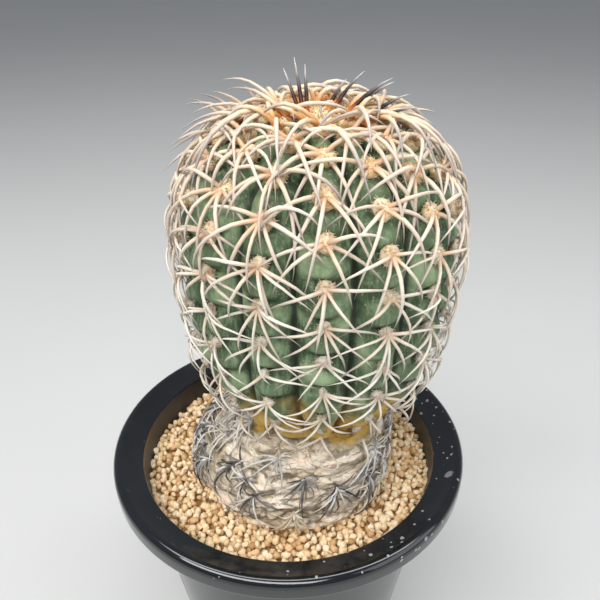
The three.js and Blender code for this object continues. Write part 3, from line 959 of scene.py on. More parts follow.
@dataclass
class Pot:
    """The flared pot: foot ring, slotted floor, tapering wall and turned-down rim. Millimetres."""

    rim_radius: float
    lip_height: float
    mouth_radius: float = 62.7
    mouth_height: float = 132.0
    skirt_depth: float = 7.8
    wall: float = 1.9
    skirt_wall: float = 1.8
    lip_round: float = 2.8
    taper: float = 0.1487
    foot_height: float = 3.0
    foot_width: float = 4.5
    floor: float = 2.5
    turns: int = 216
    slots: int = 8
    slot_reach: tuple[float, float] = (14.0, 32.0)
    slot_width: float = 3.6
    foot_round: float = 0.8
    foot_inner_round: float = 0.7
    floor_round: float = 1.6
    under_round: float = 1.6
    edge_round: float = 0.9
    rim_top: float = 3.9
    seam_angles: tuple[float, ...] = (-58.0, 58.0, 122.0, -122.0)
    seam_span: tuple[float, float] = (4.0, 118.0)
    seam_height: float = 0.3
    seam_spread: float = 0.018
    finish: GlossyPotPlastic = field(default_factory=GlossyPotPlastic)

    def inner(self, height: float) -> float:
        """Radius of the inside of the wall at a height."""
        return self.mouth_radius - self.taper * (self.mouth_height - height)

    def outer(self, height: float) -> float:
        """Radius of the outside of the wall at a height."""
        return self.inner(height) + self.wall

    @staticmethod
    def corner(radius: float, height: float, size: float, start: float, end: float) -> Section:
        """A rounded corner of a size about a middle, between two angles, with 0 outwards and 90 up."""
        angles = np.radians(np.linspace(start, end, 6))
        return [(radius + size * math.cos(a), height + size * math.sin(a)) for a in angles]

    def profile(self) -> Section:
        """The section from the middle of the underside, out and up over the rim, and down inside.

        Returns:
            Radius and height of each point.
        """
        rim, lip, mouth = self.rim_radius, self.lip_height, self.mouth_height
        foot_in = self.outer(0) - self.foot_width
        foot_edge, inner_edge, floor_edge = self.foot_round, self.foot_inner_round, self.floor_round
        skirt_foot = lip - self.skirt_depth
        under, under_rim = mouth - self.wall, lip - self.rim_top
        inside = rim - self.skirt_wall
        floor_top = self.foot_height + self.floor
        return [
            (0, self.foot_height), (foot_in - 0.6, self.foot_height), (foot_in, self.foot_height - 0.6),
            *self.corner(foot_in + inner_edge, inner_edge, inner_edge, 180, 270),
            *self.corner(self.outer(0) - foot_edge, foot_edge, foot_edge, 270, 352),
            *((self.outer(height), height) for height in (40, 80, under - 3)),
            *self.corner(self.outer(under) + self.under_round, under - 1.2, self.under_round, 172, 100),
            (inside - 1.2, under_rim + 0.7), (inside, under_rim), (inside, skirt_foot + 0.5),
            *self.corner(rim - self.skirt_wall / 2, skirt_foot + 0.7, self.edge_round, 180, 372),
            (rim, lip - self.lip_round - 0.4),
            *self.corner(rim - self.lip_round, lip - self.lip_round, self.lip_round, 0, 95),
            (rim - self.lip_round - 1.0, lip - 0.3),
            (self.mouth_radius + 6, mouth + 1.15), (self.mouth_radius + 1.2, mouth + 0.2),
            *self.corner(self.mouth_radius + self.edge_round, mouth - 0.8, self.edge_round, 90, 172),
            *((self.inner(height), height) for height in (120, 80, 40)),
            *self.corner(self.inner(floor_top) - floor_edge, floor_top + floor_edge, floor_edge, 352, 270),
            (0, floor_top),
        ]

    def build(self) -> None:
        """Turns the section about the upright axis, with a few fine mould seams, and cuts the slots."""
        section = np.array(self.profile(), float)
        reach, height = section.T
        angles = np.arange(self.turns) * 2 * math.pi / self.turns
        seams = np.radians(self.seam_angles)
        gap = np.abs((angles[:, None] - seams[None] + math.pi) % (2 * math.pi) - math.pi).min(1)
        raised = self.seam_height * np.exp(-((gap / self.seam_spread) ** 2))
        wall = (height > self.seam_span[0]) & (height < self.seam_span[1]) & (reach > self.inner(0) + 1)
        outside = wall & (reach > self.inner(height) + 1)
        radius = section[1:-1, 0][None] + raised[:, None] * outside[1:-1][None]
        heights = np.broadcast_to(section[1:-1, 1], radius.shape)
        ring = np.stack([radius * np.sin(angles)[:, None], -radius * np.cos(angles)[:, None], heights], -1)
        count = len(section) - 2
        points = np.vstack([ring.reshape(-1, 3), [[0, 0, section[0, 1]], [0, 0, section[-1, 1]]]])
        faces: list[tuple[int, ...]] = []
        for i in range(self.turns):
            here, there = i * count, (i + 1) % self.turns * count
            faces += [(here + j, there + j, there + j + 1, here + j + 1) for j in range(count - 1)]
            faces.append((len(points) - 2, there, here))
            faces.append((len(points) - 1, here + count - 1, there + count - 1))
        piece = new_piece("pot_body", points, faces)
        cutter = self.slot_cutter()
        modifier = piece.modifiers.new("slots", "BOOLEAN")
        modifier.object = cutter
        modifier.solver = "EXACT"
        settle(piece)
        bpy.data.objects.remove(cutter)
        dress(piece, self.finish.material(), 40)
        place(piece, "pot_plastic", "pot")

    def slot_cutter(self) -> bpy.types.Object:
        """Makes the round-ended bars that cut the drain slots through the floor.

        Returns:
            The bars as one closed mesh.
        """
        points: list[tuple[float, float, float]] = []
        faces: list[tuple[int, ...]] = []
        half = self.slot_width / 2
        ends = [(self.slot_reach[1], a) for a in np.linspace(-90, 90, 9)]
        ends += [(self.slot_reach[0], a) for a in np.linspace(90, 270, 9)]
        n = len(ends)
        for i in range(self.slots):
            turn = i * 2 * math.pi / self.slots
            cos, sin = math.cos(turn), math.sin(turn)
            start = len(points)
            for height in (-1.0, self.foot_height + self.floor + 3):
                for reach, angle in ends:
                    x = reach + half * math.cos(math.radians(angle))
                    y = half * math.sin(math.radians(angle))
                    points.append((x * cos - y * sin, x * sin + y * cos, height))
            faces.append(tuple(start + n - 1 - j for j in range(n)))
            faces.append(tuple(start + n + j for j in range(n)))
            for j in range(n):
                after = (j + 1) % n
                faces.append((start + j, start + after, start + n + after, start + n + j))
        return new_piece("slot_cutter", np.array(points), faces)


# --------------------------------------------------------------- top dressing


@dataclass
class TopDressing:
    """Clay granules: a slightly uneven bed round the plant, and two layers of loose ones. Millimetres."""

    form: PlantForm
    wall_radius: float
    bottom: float
    top: float
    bed_turns: int = 96
    bed_rings: int = 12
    bed_drop: float = 3.0
    bed_heap: float = 1.1
    stem_gap: float = 1.0
    stem_tuck: float = 2.6
    wall_gap: float = 0.5
    foot_gap: float = 1.4
    spacing: float = 2.15
    rises: tuple[float, float] = (0.6, 2.2)
    rise_jitter: float = 0.7
    aside_jitter: float = 0.4
    sizes: tuple[float, float] = (0.72, 1.28)
    granule: float = 3.9
    corners: int = 16
    variants: int = 8
    seed: int = 11
    finish: ClayGranule = field(default_factory=ClayGranule)

    def granules(self) -> list[bpy.types.Object]:
        """Makes a few granules of different shapes, each a hull round random points.

        Returns:
            One object for each shape.
        """
        rng = np.random.default_rng(self.seed)
        made = []
        for i in range(self.variants):
            shape = bmesh.new()
            spread = rng.normal(size=(self.corners, 3))
            spread /= np.linalg.norm(spread, axis=1)[:, None]
            dents = rng.uniform(0.84, 1.0, (self.corners, 1))
            spread *= dents * np.array([1.0, rng.uniform(0.78, 1), rng.uniform(0.68, 0.9)])
            for corner in spread * self.granule / 2 * MM:
                shape.verts.new(corner)
            hull = bmesh.ops.convex_hull(shape, input=shape.verts)
            inner = [v for v in hull["geom_interior"] if isinstance(v, bmesh.types.BMVert)]
            bmesh.ops.delete(shape, geom=inner, context="VERTS")
            mesh = bpy.data.meshes.new(f"granule_{i}")
            shape.to_mesh(mesh)
            shape.free()
            mesh.shade_smooth()
            piece = bpy.data.objects.new(mesh.name, mesh)
            bpy.context.scene.collection.objects.link(piece)
            made.append(piece)
        return made

    def bed(self) -> bpy.types.Object:
        """Makes the closed ring of packed granules below the loose ones.

        Returns:
            The ring, whose top is marked for loose granules.
        """
        angles = np.arange(self.bed_turns) * 2 * math.pi / self.bed_turns
        stem = float(self.form.profile(self.form.soil)[0]) + self.stem_gap - self.stem_tuck
        outer = self.wall_radius - self.wall_gap
        start = np.array(self.form.foot_centre)
        rows = []
        for share in np.linspace(0, 1, self.bed_rings):
            centre = start * (1 - share)
            radius = stem + (outer - stem) * share
            x, y = centre[0] + radius * np.sin(angles), centre[1] - radius * np.cos(angles)
            heap = clouds(np.stack([x, y, x * 0], -1), (0.045, 0.045, 1), 3, 4.0)
            rows.append(np.stack([x, y, self.top - self.bed_drop + self.bed_heap * heap], -1))
        low_out, low_in = rows[-1].copy(), rows[0].copy()
        low_out[:, :2] *= (outer - self.foot_gap) / outer
        low_out[:, 2] = low_in[:, 2] = self.bottom
        points = np.vstack([*rows, low_out, low_in])
        faces = ring_faces(self.bed_rings + 2, self.bed_turns, closed=True)
        top = np.zeros(len(points))
        top[: self.bed_rings * self.bed_turns] = 1.0
        # It carries no tint, so its finish paints it in the granules' dark gap colour: painted shade under
        # the loose granules.
        return new_piece("top_dressing_granules", points, [face[::-1] for face in faces], loose=top)

    def recipe(self) -> Grower:
        """Scatters two layers of granules over the bed's top.

        Returns:
            The recipe, to run on the bed.
        """
        grower = Grower("granule_scatter")
        finish = grower.ask("Finish", "Material")
        seed = grower.ask("Seed", "Int", 1)
        gap = grower.ask("Spacing", "Float", 0.003)
        smallest = grower.ask("Smallest", "Float", 0.8)
        largest = grower.ask("Largest", "Float", 1.2)
        found = []
        for i in range(self.variants):
            shape = grower.ask(f"Granule {i + 1}", "Object")
            info = grower.node("GeometryNodeObjectInfo", {"Object": shape, "As Instance": True})
            found.append(info.outputs["Geometry"])
        shapes = grower.together(*found)
        bed = grower.entry.outputs["Geometry"]
        parts = [bed]
        for layer, rise in enumerate(self.rises):
            own = grower.maths("ADD", seed, layer * 10)
            scatter = {"Mesh": bed, "Selection": grower.stored("loose"), "Distance Min": gap}
            scatter |= {"Density Max": 400000.0, "Seed": own}
            points = grower.step("DistributePointsOnFaces", scatter, distribute_method="POISSON")
            aside, low = self.aside_jitter * MM, (rise - self.rise_jitter) * MM
            high = (rise + self.rise_jitter) * MM
            jitter = grower.chance((-aside, -aside, low), (aside, aside, high), own, "FLOAT_VECTOR")
            lifted = grower.step("SetPosition", {"Geometry": points, "Offset": jitter})
            draws = [grower.maths("ADD", own, i) for i in range(1, 5)]
            laid = {
                "Points": lifted,
                "Instance": shapes,
                "Pick Instance": True,
                "Instance Index": grower.chance(0, self.variants - 1, draws[2], "INT"),
                "Rotation": grower.chance((0.0, 0.0, 0.0), (6.283, 6.283, 6.283), draws[0], "FLOAT_VECTOR"),
                "Scale": grower.chance(smallest, largest, draws[1]),
            }
            copies = grower.step("InstanceOnPoints", laid)
            tint = {"Geometry": copies, "Name": "tint", "Value": grower.chance(0.0, 1.0, draws[3])}
            parts.append(grower.step("StoreNamedAttribute", tint, data_type="FLOAT", domain="INSTANCE"))
        grower.close(grower.together(*parts), finish)
        return grower

    def build(self) -> None:
        """Lays the bed and the granules on it."""
        piece = self.bed()
        shapes = self.granules()
        self.recipe().grow(
            piece,
            Finish=self.finish.material(),
            Seed=self.seed,
            Spacing=self.spacing * MM,
            Smallest=self.sizes[0],
            Largest=self.sizes[1],
            **{f"Granule_{i + 1}": shape for i, shape in enumerate(shapes)},
        )
        for shape in shapes:
            bpy.data.objects.remove(shape)
        place(piece, "granules", "top_dressing")


@dataclass
class BuriedFill:
    """A fill below the dressing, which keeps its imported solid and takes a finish."""

    node: str
    finish: SoilFinish

    def build(self) -> None:
        """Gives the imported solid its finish."""
        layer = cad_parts[self.node]
        layer.data.materials.clear()
        layer.data.materials.append(self.finish.material())
        log.info("%s: packed node with its own finish", self.node)


# -------------------------------------------------------------------- stem


@dataclass
class Stem:
    """The grown stem: ribbed green body with tubercles, yellowing neck, corky base and root."""

    form: PlantForm
    columns: int = 18
    body_rings: int = 190
    cork_rings: int = 90
    root_rings: int = 12
    chin_height: float = 2.8
    crease_depth: float = 0.9
    neck_knob: float = 1.0
    fold_height: float = 3.0
    swirl_depth: float = 0.35
    valley_depth: float = 0.7
    finish: CactusSkin = field(default_factory=CactusSkin)

    def build(self) -> None:
        """Lays the skin over rings and columns and closes it at the crown and the root's tip."""
        form = self.form
        foot = form.distance_at(form.foot_height)
        spans = [
            np.linspace(0, form.neck, self.body_rings, endpoint=False)[1:],
            np.linspace(form.neck, foot, self.cork_rings, endpoint=False),
            np.linspace(foot, form.distances[-1], self.root_rings, endpoint=False),
        ]
        distances = np.concatenate(spans)
        rings, count = len(distances), form.ribs * self.columns
        angles = np.arange(count) * 2 * math.pi / count
        distance, angle = (a.ravel() for a in np.meshgrid(distances, angles, indexing="ij"))
        lift, layers = self.relief(distance, angle)
        points = form.points(distance, angle, lift)
        ends = np.array([form.points(0.0, 0.0), form.points(form.distances[-1], 0.0)])
        top, tip, last = rings * count, rings * count + 1, (rings - 1) * count
        faces = ring_faces(rings, count)
        faces += [(top, i, (i + 1) % count) for i in range(count)]
        faces += [(tip, last + (i + 1) % count, last + i) for i in range(count)]
        layers = {key: np.concatenate([values, values[:1], values[-1:]]) for key, values in layers.items()}
        piece = new_piece("cactus_body", np.vstack([points, ends]), faces, **layers)
        dress(piece, self.finish.material())
        place(piece, "cactus_skin", "cactus_stem")

    def relief(self, distance: np.ndarray, angle: np.ndarray) -> tuple[np.ndarray, dict[str, np.ndarray]]:
        """How the skin departs from its smooth outline, and what it is like there.

        Args:
            distance: Distances from the crown.
            angle: Angles round the plant.

        Returns:
            The lift of each point, and the layers that the finish reads.
        """
        form = self.form
        rib = np.round(angle / form.rib_turn)
        off = np.abs(2 * ((angle / form.rib_turn + 0.5) % 1 - 0.5))
        phase = ((distance - form.first) / form.pitch - form.turn * rib) % 1
        flat = form.points(distance, angle)
        swirl = clouds(flat, (0.05, 0.05, 0.05), 3, 9.0)

        # Ribs with a swelling chin under each areole, a crease between chins, and weaker chins low down.
        ribbed = smoothstep(distance, 3, 26) * (1 - smoothstep(distance, form.neck - 16, form.neck - 3))
        knobbed = smoothstep(distance, 12, 26) * (1 - smoothstep(distance, form.neck - 9, form.neck - 1))
        low = smoothstep(distance, form.neck - 44, form.neck - 12)
        valley = np.exp(-(((1 - off) / 0.13) ** 2))
        chin = smoothstep(phase, 0.0, 0.6) * (1 - smoothstep(phase + 0.14 * off**2, 0.66, 0.97))
        crease = np.exp(-(((phase + 0.16 * off**2 - 0.93) / 0.06) ** 2)) * (1 - smoothstep(off, 0.25, 0.8))
        lift = ribbed * (-form.rib_depth * off**1.9 - self.valley_depth * valley)
        lift += knobbed * (1 - off**1.6) * self.chin_height * (1 - 0.6 * low) * (chin - 0.6)
        lift -= knobbed * self.crease_depth * crease
        lift += ribbed * self.swirl_depth * swirl
        lift += low * knobbed * self.neck_knob * (chin - 0.3) * (1 - off**2)

        # Cork below a ragged border, in sagging folds with creases that wander.
        ragged = distance + 7 * swirl
        corky = smoothstep(ragged, form.neck - 2, form.neck + 5)
        corky = corky * (1 - smoothstep(distance, form.soil + 4, form.soil + 12))
        base = corky > 0.01
        warp = flat[base].copy()
        warp[:, 2] += 9 * clouds(flat[base], (0.03, 0.03, 0.05), 2, 3.0)
        wrinkle, sag = np.zeros_like(distance), np.zeros_like(distance)
        wrinkle[base] = creases(warp, (0.045, 0.045, 0.12), 2.0)
        sag[base] = clouds(warp, (0.035, 0.035, 0.14), 4, 7.0)
        lift += corky * self.fold_height * (0.45 * (wrinkle - 0.5) + 0.7 * sag)

        # What the finish reads: a blotched yellowing above the neck, painted shade in every hollow and cork
        # crease, and painted highlight on the chins.
        yellow = smoothstep(distance + 11 * swirl + 7 * off, form.neck - 34, form.neck - 17)
        hollow = np.maximum(ribbed * np.maximum(valley, 0.35 * off**3), 0.5 * knobbed * crease)
        # Patches of painted shade round the waist, where the body meets the cork.
        waist = np.exp(-(((ragged - form.neck + 2.0) / 3.2) ** 2)) * smoothstep(swirl, -0.35, 0.25)
        hollow = np.maximum(hollow, 0.85 * waist)
        layers = {
            "groove": np.clip(hollow + corky * np.clip(0.42 - wrinkle, 0, 1) * 2.4, 0, 1),
            # The chins that the finish paints lighter, a painted highlight.
            "chin": np.clip(knobbed * chin * (1 - off**1.2), 0, 1),
            "yellow": yellow * (1 - corky),
            "cork": corky,
        }
        return lift, layers


# ------------------------------------------------------------------- spines


class Tone(Enum):
    """The kinds of spine that a seat can carry."""

    PALE = 0.0
    GOLD = 0.5
    DARK = 1.0


@dataclass
class SpineBatch:
    """The middle lines of many spines, gathered before they are swept. Millimetres."""

    steps: tuple[float, ...] = (0.0, 0.04, 0.12, 0.22, 0.33, 0.45, 0.57, 0.69, 0.8, 0.91, 1.0)
    points: list[np.ndarray] = field(default_factory=list)
    edges: list[tuple[int, int]] = field(default_factory=list)
    layers: dict[str, list[float]] = field(
        default_factory=lambda: {"girth": [], "along": [], "tint": [], "age": [], "dusk": []}
    )

    def add(self, path: np.ndarray, girth: float, tint: float, age: float, tone: Tone = Tone.PALE) -> None:
        """Adds one spine.

        Args:
            path: Its middle line, a point for each step.
            girth: Its radius near the root.
            tint: From 0 to 1, how far its colour departs from its neighbours'.
            age: 0 for a young spine and 1 for an old one.
            tone: Whether it is pale, golden or dark.
        """
        start = len(self.layers["girth"])
        along = np.array(self.steps)
        profile = girth * (np.clip(1 - along**1.7, 0, 1) ** 0.8 + 0.3 * np.exp(-((along / 0.05) ** 2)))
        self.points.append(path)
        self.edges += [(start + i, start + i + 1) for i in range(len(along) - 1)]
        self.layers["girth"] += list(np.maximum(profile, 0.05) * MM)
        self.layers["along"] += list(along)
        for key, value in (("tint", tint), ("age", age), ("dusk", tone.value)):
            self.layers[key] += [value] * len(along)

    def lines(self, name: str) -> bpy.types.Object:
        """All middle lines as one mesh of loose edges."""
        layers = {key: np.array(values) for key, values in self.layers.items()}
        return new_piece(name, np.vstack(self.points), edges=self.edges, **layers)


class ThornSweep:
    """Sweeps a round section along each spine's middle line."""

    def __init__(self, finish: bpy.types.Material) -> None:
        """Builds the recipe.

        Args:
            finish: The material of its spines.
        """
        self.finish = finish
        self.grower = grower = Grower("thorn_sweep_" + finish.name)
        material = grower.ask("Finish", "Material")
        sides = grower.ask("Sides", "Int", 6)
        sway = grower.ask("Sway", "Float", 0.0003)
        seed = grower.ask("Seed", "Int", 1)
        curve = grower.step("MeshToCurve", {"Mesh": grower.entry.outputs["Geometry"]})
        along = grower.stored("along")
        jitter = grower.chance((-1.0, -1.0, -1.0), (1.0, 1.0, 1.0), seed, "FLOAT_VECTOR")
        free = grower.maths("MULTIPLY", along, grower.maths("SUBTRACT", 1.0, along))
        offset = grower.sums("SCALE", jitter, grower.maths("MULTIPLY", sway, free))
        swayed = grower.step("SetPosition", {"Geometry": curve, "Offset": offset})
        ring = grower.step("CurvePrimitiveCircle", {"Resolution": sides, "Radius": 1.0})
        swept = {"Curve": swayed, "Profile Curve": ring, "Scale": grower.stored("girth"), "Fill Caps": True}
        tube = grower.step("CurveToMesh", swept)
        grower.close(grower.step("SetShadeSmooth", {"Geometry": tube}), material)

    def sweep(self, lines: bpy.types.Object, sides: int, seed: int) -> bpy.types.Object:
        """Makes the spines on their middle lines real, with a number of sides and a seed for their sway."""
        return self.grower.grow(lines, Finish=self.finish, Sides=sides, Sway=0.0004, Seed=seed)


@dataclass
class FeltPads:
    """Pads of felted wool with short bristles, one at each areole. Millimetres."""

    finish: bpy.types.Material
    lumpiness: float = 2.2
    hair_length: float = 1.1
    hair_root: float = 0.22
    hair_tip: float = 0.04

    def __post_init__(self) -> None:
        """Builds the recipe: a lumpy pad at each point, set with fine hairs."""
        self.grower = grower = Grower("felt_pads")
        material = grower.ask("Finish", "Material")
        hairs = grower.ask("Hairs per square metre", "Float", 900000.0)
        length = grower.ask("Hair length", "Float", self.hair_length * MM)
        lump = grower.ask("Lumpiness", "Float", self.lumpiness * MM)
        seed = grower.ask("Seed", "Int", 1)
        ball = grower.step("MeshIcoSphere", {"Radius": 1.0, "Subdivisions": 3})
        out, down, spread = (grower.stored(name, "FLOAT_VECTOR") for name in ("out", "down", "spread"))
        axes = {"Primary Axis": out, "Secondary Axis": down}
        turned = grower.node("FunctionNodeAxesToRotation", axes, primary_axis="Z", secondary_axis="Y")
        laid = {"Points": grower.entry.outputs["Geometry"], "Instance": ball}
        laid |= {"Rotation": turned.outputs[0], "Scale": spread}
        pads = grower.step("RealizeInstances", {"Geometry": grower.step("InstanceOnPoints", laid)})
        wave = grower.node("ShaderNodeTexNoise", {"Scale": 380.0, "Detail": 3.0}).outputs["Color"]
        dents = grower.sums("SCALE", grower.sums("SUBTRACT", wave, (0.5, 0.5, 0.5)), lump)
        lumpy = grower.step("SetPosition", {"Geometry": pads, "Offset": dents})
        rooted = {"Mesh": lumpy, "Density": hairs, "Seed": seed}
        roots = grower.node("GeometryNodeDistributePointsOnFaces", rooted)
        cone = {"Vertices": 3, "Radius Bottom": self.hair_root * MM, "Radius Top": self.hair_tip * MM}
        hair = grower.step("MeshCone", cone | {"Depth": length})
        lean = grower.chance((-0.7, -0.7, -0.7), (0.7, 0.7, 0.7), seed, "FLOAT_VECTOR")
        leaning = {"Vector": grower.sums("ADD", roots.outputs["Normal"], lean)}
        aim = grower.node("FunctionNodeAlignRotationToVector", leaning, axis="Z")
        stand = {"Points": roots.outputs[0], "Instance": hair, "Rotation": aim.outputs[0]}
        stand["Scale"] = grower.chance(0.5, 1.2, grower.maths("ADD", seed, 1))
        both = grower.together(lumpy, grower.step("InstanceOnPoints", stand))
        grower.close(grower.step("SetShadeSmooth", {"Geometry": both}), material)

    def grow(
        self,
        name: str,
        seats: Sequence[Seat],
        spreads: np.ndarray,
        ages: np.ndarray,
        raised: float,
        seed: int,
        hairs: float = 0.9,
    ) -> bpy.types.Object:
        """Grows a pad at each seat.

        Args:
            name: The object's name.
            seats: The seats.
            spreads: Half the width, half the length and the height of each pad.
            ages: From 0 for fresh wool to 1 for grey wool.
            raised: How far each pad's middle stands above the skin.
            seed: What fixes the hairs.
            hairs: Hairs for each square millimetre.

        Returns:
            The pads as one plain mesh.
        """
        points = np.array([s.point + s.out * raised for s in seats])
        layers = {"out": np.array([s.out for s in seats]), "down": np.array([s.down for s in seats])}
        piece = new_piece(name, points, spread=spreads * MM, age=ages, **layers)
        return self.grower.grow(piece, Finish=self.finish, Seed=seed, Hairs_per_square_metre=hairs * 1e6)


def joined(name: str, parts: Sequence[bpy.types.Object]) -> bpy.types.Object:
    """Joins plain meshes into one piece that keeps each part's own material.

    Args:
        name: The joined piece's name.
        parts: The parts; the first one takes in the others.

    Returns:
        The joined piece.
    """
    first, chosen = parts[0], list(parts)
    chosen_as = {"selected_objects": chosen, "selected_editable_objects": chosen}
    with bpy.context.temp_override(active_object=first, object=first, **chosen_as):
        bpy.ops.object.join()
    first.name = name
    first.data.name = name
    return first


@dataclass
class SpineHabit:
    """How the spines of one areole grow. Degrees and millimetres.

    Each spine has a heading, 0 down the rib and positive to its side, and a length. They share a girth
    near the root, a bow that lifts them in mid-length, the height of their tips over the skin, and the
    droop, the share of its heading that a spine turns back on its way. The jitters and the share that is
    missing say how irregular they are.
    """

    headings: tuple[float, ...]
    lengths: tuple[float, ...]
    girth: float
    bow: float
    tip: float
    droop: float
    heading_jitter: float
    length_jitter: float
    missing: float


BODY_HABIT = SpineHabit(
    headings=(-104, 104, -74, 74, -40, 40, 4),
    lengths=(24, 24, 26, 26, 24, 24, 24),
    girth=0.7, bow=4.0, tip=2.0, droop=0.55, heading_jitter=9, length_jitter=0.12, missing=0.12,
)
CROWN_HABIT = SpineHabit(
    headings=(-92, -62, -34, -8, 20, 48, 78),
    lengths=(27, 30, 32, 32, 32, 31, 28),
    girth=0.92, bow=5.6, tip=4.0, droop=0.25, heading_jitter=10, length_jitter=0.1, missing=0.04,
)
CORK_HABIT = SpineHabit(
    headings=(-100, 95, -78, 74, -56, 50, -34, 30, -14, 12, 140, -125),
    lengths=(9, 10, 11, 11, 12, 11, 10, 12, 10, 11, 6, 6),
    girth=0.46, bow=3.2, tip=1.0, droop=0.5, heading_jitter=24, length_jitter=0.34, missing=0.14,
)


@dataclass
class SpineRows:
    """The rows of areoles down the ribs of the body and up the old base. Millimetres."""

    form: PlantForm
    sweep: ThornSweep
    old_sweep: ThornSweep
    felt: FeltPads
    seed: int = 5
    path_steps: int = 32
    path_rise: float = 2.0
    least_turn: float = 12.0
    youngest: float = 24.0
    oldest: float = 105.0
    young_vigour: float = 1.12
    old_weakness: float = 0.28
    low_weakness: float = 0.24
    low_span: tuple[float, float] = (112.0, 132.0)
    old_gaps: float = 0.12
    low_gaps: float = 0.42
    gap_span: tuple[float, float] = (116.0, 130.0)
    young_girth: float = 1.14
    old_thinness: float = 0.42
    pad_young: tuple[float, float] = (3.9, 2.4)
    pad_old: tuple[float, float] = (1.9, 1.4)
    extra_tufts: tuple[int, ...] = (0, 1, 3, 3, 2, 1, 1, 1, 1, 1, 1, 3, 3, 2, 0)
    extra_reach: tuple[float, float] = (-9.0, 6.0)
    extra_margin: float = 3.0

    def path(
        self,
        seat: Seat,
        habit: SpineHabit,
        index: int,
        rng: np.random.Generator,
        steps: Sequence[float],
        hanging: bool,
        vigour: float = 1.0,
    ) -> np.ndarray:
        """The middle line of one spine, bowed over the skin.

        Args:
            seat: Where it is rooted.
            habit: How its areole's spines grow.
            index: Which of them it is.
            rng: The source of its own irregularity.
            steps: The places along it.
            hanging: Whether it follows the hanging outline below the body.
            vigour: Scale of its length and bow.

        Returns:
            A point for each step.
        """
        heading = math.radians(habit.headings[index] + rng.normal(0, habit.heading_jitter))
        droop = -habit.droop * heading + math.radians(rng.normal(0, 10))
        length = habit.lengths[index] * (1 + rng.normal(0, habit.length_jitter)) * vigour
        bow = habit.bow * (1 + rng.normal(0, 0.2)) * vigour
        tip = habit.tip * (1 + rng.normal(0, 0.3))
        fine = np.linspace(0, 1, self.path_steps + 1)
        turn = (heading + droop * fine)[1:]
        stride = length / self.path_steps
        aside, along = (np.concatenate([[0], np.cumsum(part(turn) * stride)]) for part in (np.sin, np.cos))
        lift = 0.4 * (1 - fine) + tip * fine + bow * np.sin(math.pi * fine**0.75)
        radius = self.form.profile(seat.distance + along, hanging)[0] + self.path_rise
        angle = seat.angle + aside / np.maximum(radius, self.least_turn)
        line = self.form.points(seat.distance + along, angle, lift, hanging)
        return np.stack([np.interp(steps, fine, line[:, k]) for k in range(3)], -1)

    def body_row(self, rib: int) -> None:
        """Builds the spines and wool of one rib of the green body.

        Args:
            rib: The rib's number, from 0.
        """
        rng = np.random.default_rng(self.seed * 1000 + rib)
        batch = SpineBatch()
        seats = [self.form.seat(d, rib * self.form.rib_turn) for d in self.form.areoles(rib)]
        spreads, ages = [], []
        for seat in seats:
            age = float(smoothstep(seat.distance, self.youngest, self.oldest))
            low, gaps = (float(smoothstep(seat.distance, *span)) for span in (self.low_span, self.gap_span))
            vigour = self.young_vigour - self.old_weakness * age - self.low_weakness * low
            missing = BODY_HABIT.missing + self.old_gaps * age + self.low_gaps * gaps
            for index in range(len(BODY_HABIT.headings)):
                path = self.path(seat, BODY_HABIT, index, rng, batch.steps, True, vigour)
                if rng.random() < missing:
                    continue
                thickness = self.young_girth - self.old_thinness * age
                girth = BODY_HABIT.girth * thickness * rng.uniform(0.85, 1.12)
                batch.add(path, girth, rng.random(), np.clip(age + rng.normal(0, 0.12), 0, 1))
            width, height = (new + (old - new) * age for new, old in zip(self.pad_young, self.pad_old))
            spreads.append([width * rng.uniform(0.85, 1.15), width * rng.uniform(0.9, 1.2), height])
            ages.append(age)
        number = f"{rib + 1:02d}"
        thorns = self.sweep.sweep(batch.lines(f"thorns_{number}"), 6, rib)
        pads = self.felt.grow(f"felt_{number}", seats, np.array(spreads), np.array(ages), 0.2, rib)
        row = joined(f"spine_row_{number}", [thorns, pads])
        place(row, "spine", f"rib_{number}_spines")

    def old_row(self, rib: int) -> None:
        """Builds the weathered spines of one rib of the corky base.

        Args:
            rib: The rib's number, from 0.
        """
        rng = np.random.default_rng(self.seed * 2000 + rib)
        batch = SpineBatch(steps=(0.0, 0.08, 0.25, 0.45, 0.65, 0.85, 1.0))
        angle = rib * self.form.rib_turn
        highest, lowest = self.form.neck + self.extra_margin, self.form.soil - self.extra_margin
        seats = []
        for distance in self.form.old_areoles(rib):
            seats.append(self.form.seat(distance, angle))
            for _ in range(self.extra_tufts[rib]):
                near = distance + rng.uniform(*self.extra_reach)
                if highest < near < lowest:
                    seats.append(self.form.seat(near, angle + rng.normal(0, 0.13)))
        for seat in seats:
            height = float(self.form.profile(seat.distance)[1]) - self.form.mouth_height
            for index in range(len(CORK_HABIT.headings)):
                path = self.path(seat, CORK_HABIT, index, rng, batch.steps, False)
                if rng.random() < CORK_HABIT.missing:
                    continue
                girth = CORK_HABIT.girth * rng.uniform(0.8, 1.15)
                batch.add(path, girth, self.weathering(height, rng), 1.0)
        number = f"{rib + 1:02d}"
        thorns = self.old_sweep.sweep(batch.lines(f"old_spine_row_{number}"), 5, rib)
        place(thorns, "old_spine", f"old_rib_{number}_spines")

    @staticmethod
    def weathering(height: float, rng: np.random.Generator) -> float:
        """How bleached an old spine is: straw near the granules, dark above them, then grey and white.

        Args:
            height: Its root's height above the pot's mouth.
            rng: The source of its own irregularity.

        Returns:
            The tint that the finish reads.
        """
        if height < 2:
            return float(np.clip(rng.normal(0.9, 0.12), 0, 1))
        if height < 13 and rng.random() < 0.42:
            return float(np.clip(abs(rng.normal(0.0, 0.2)), 0, 0.5))
        return float(np.clip(rng.normal(0.6, 0.14), 0.25, 0.9))


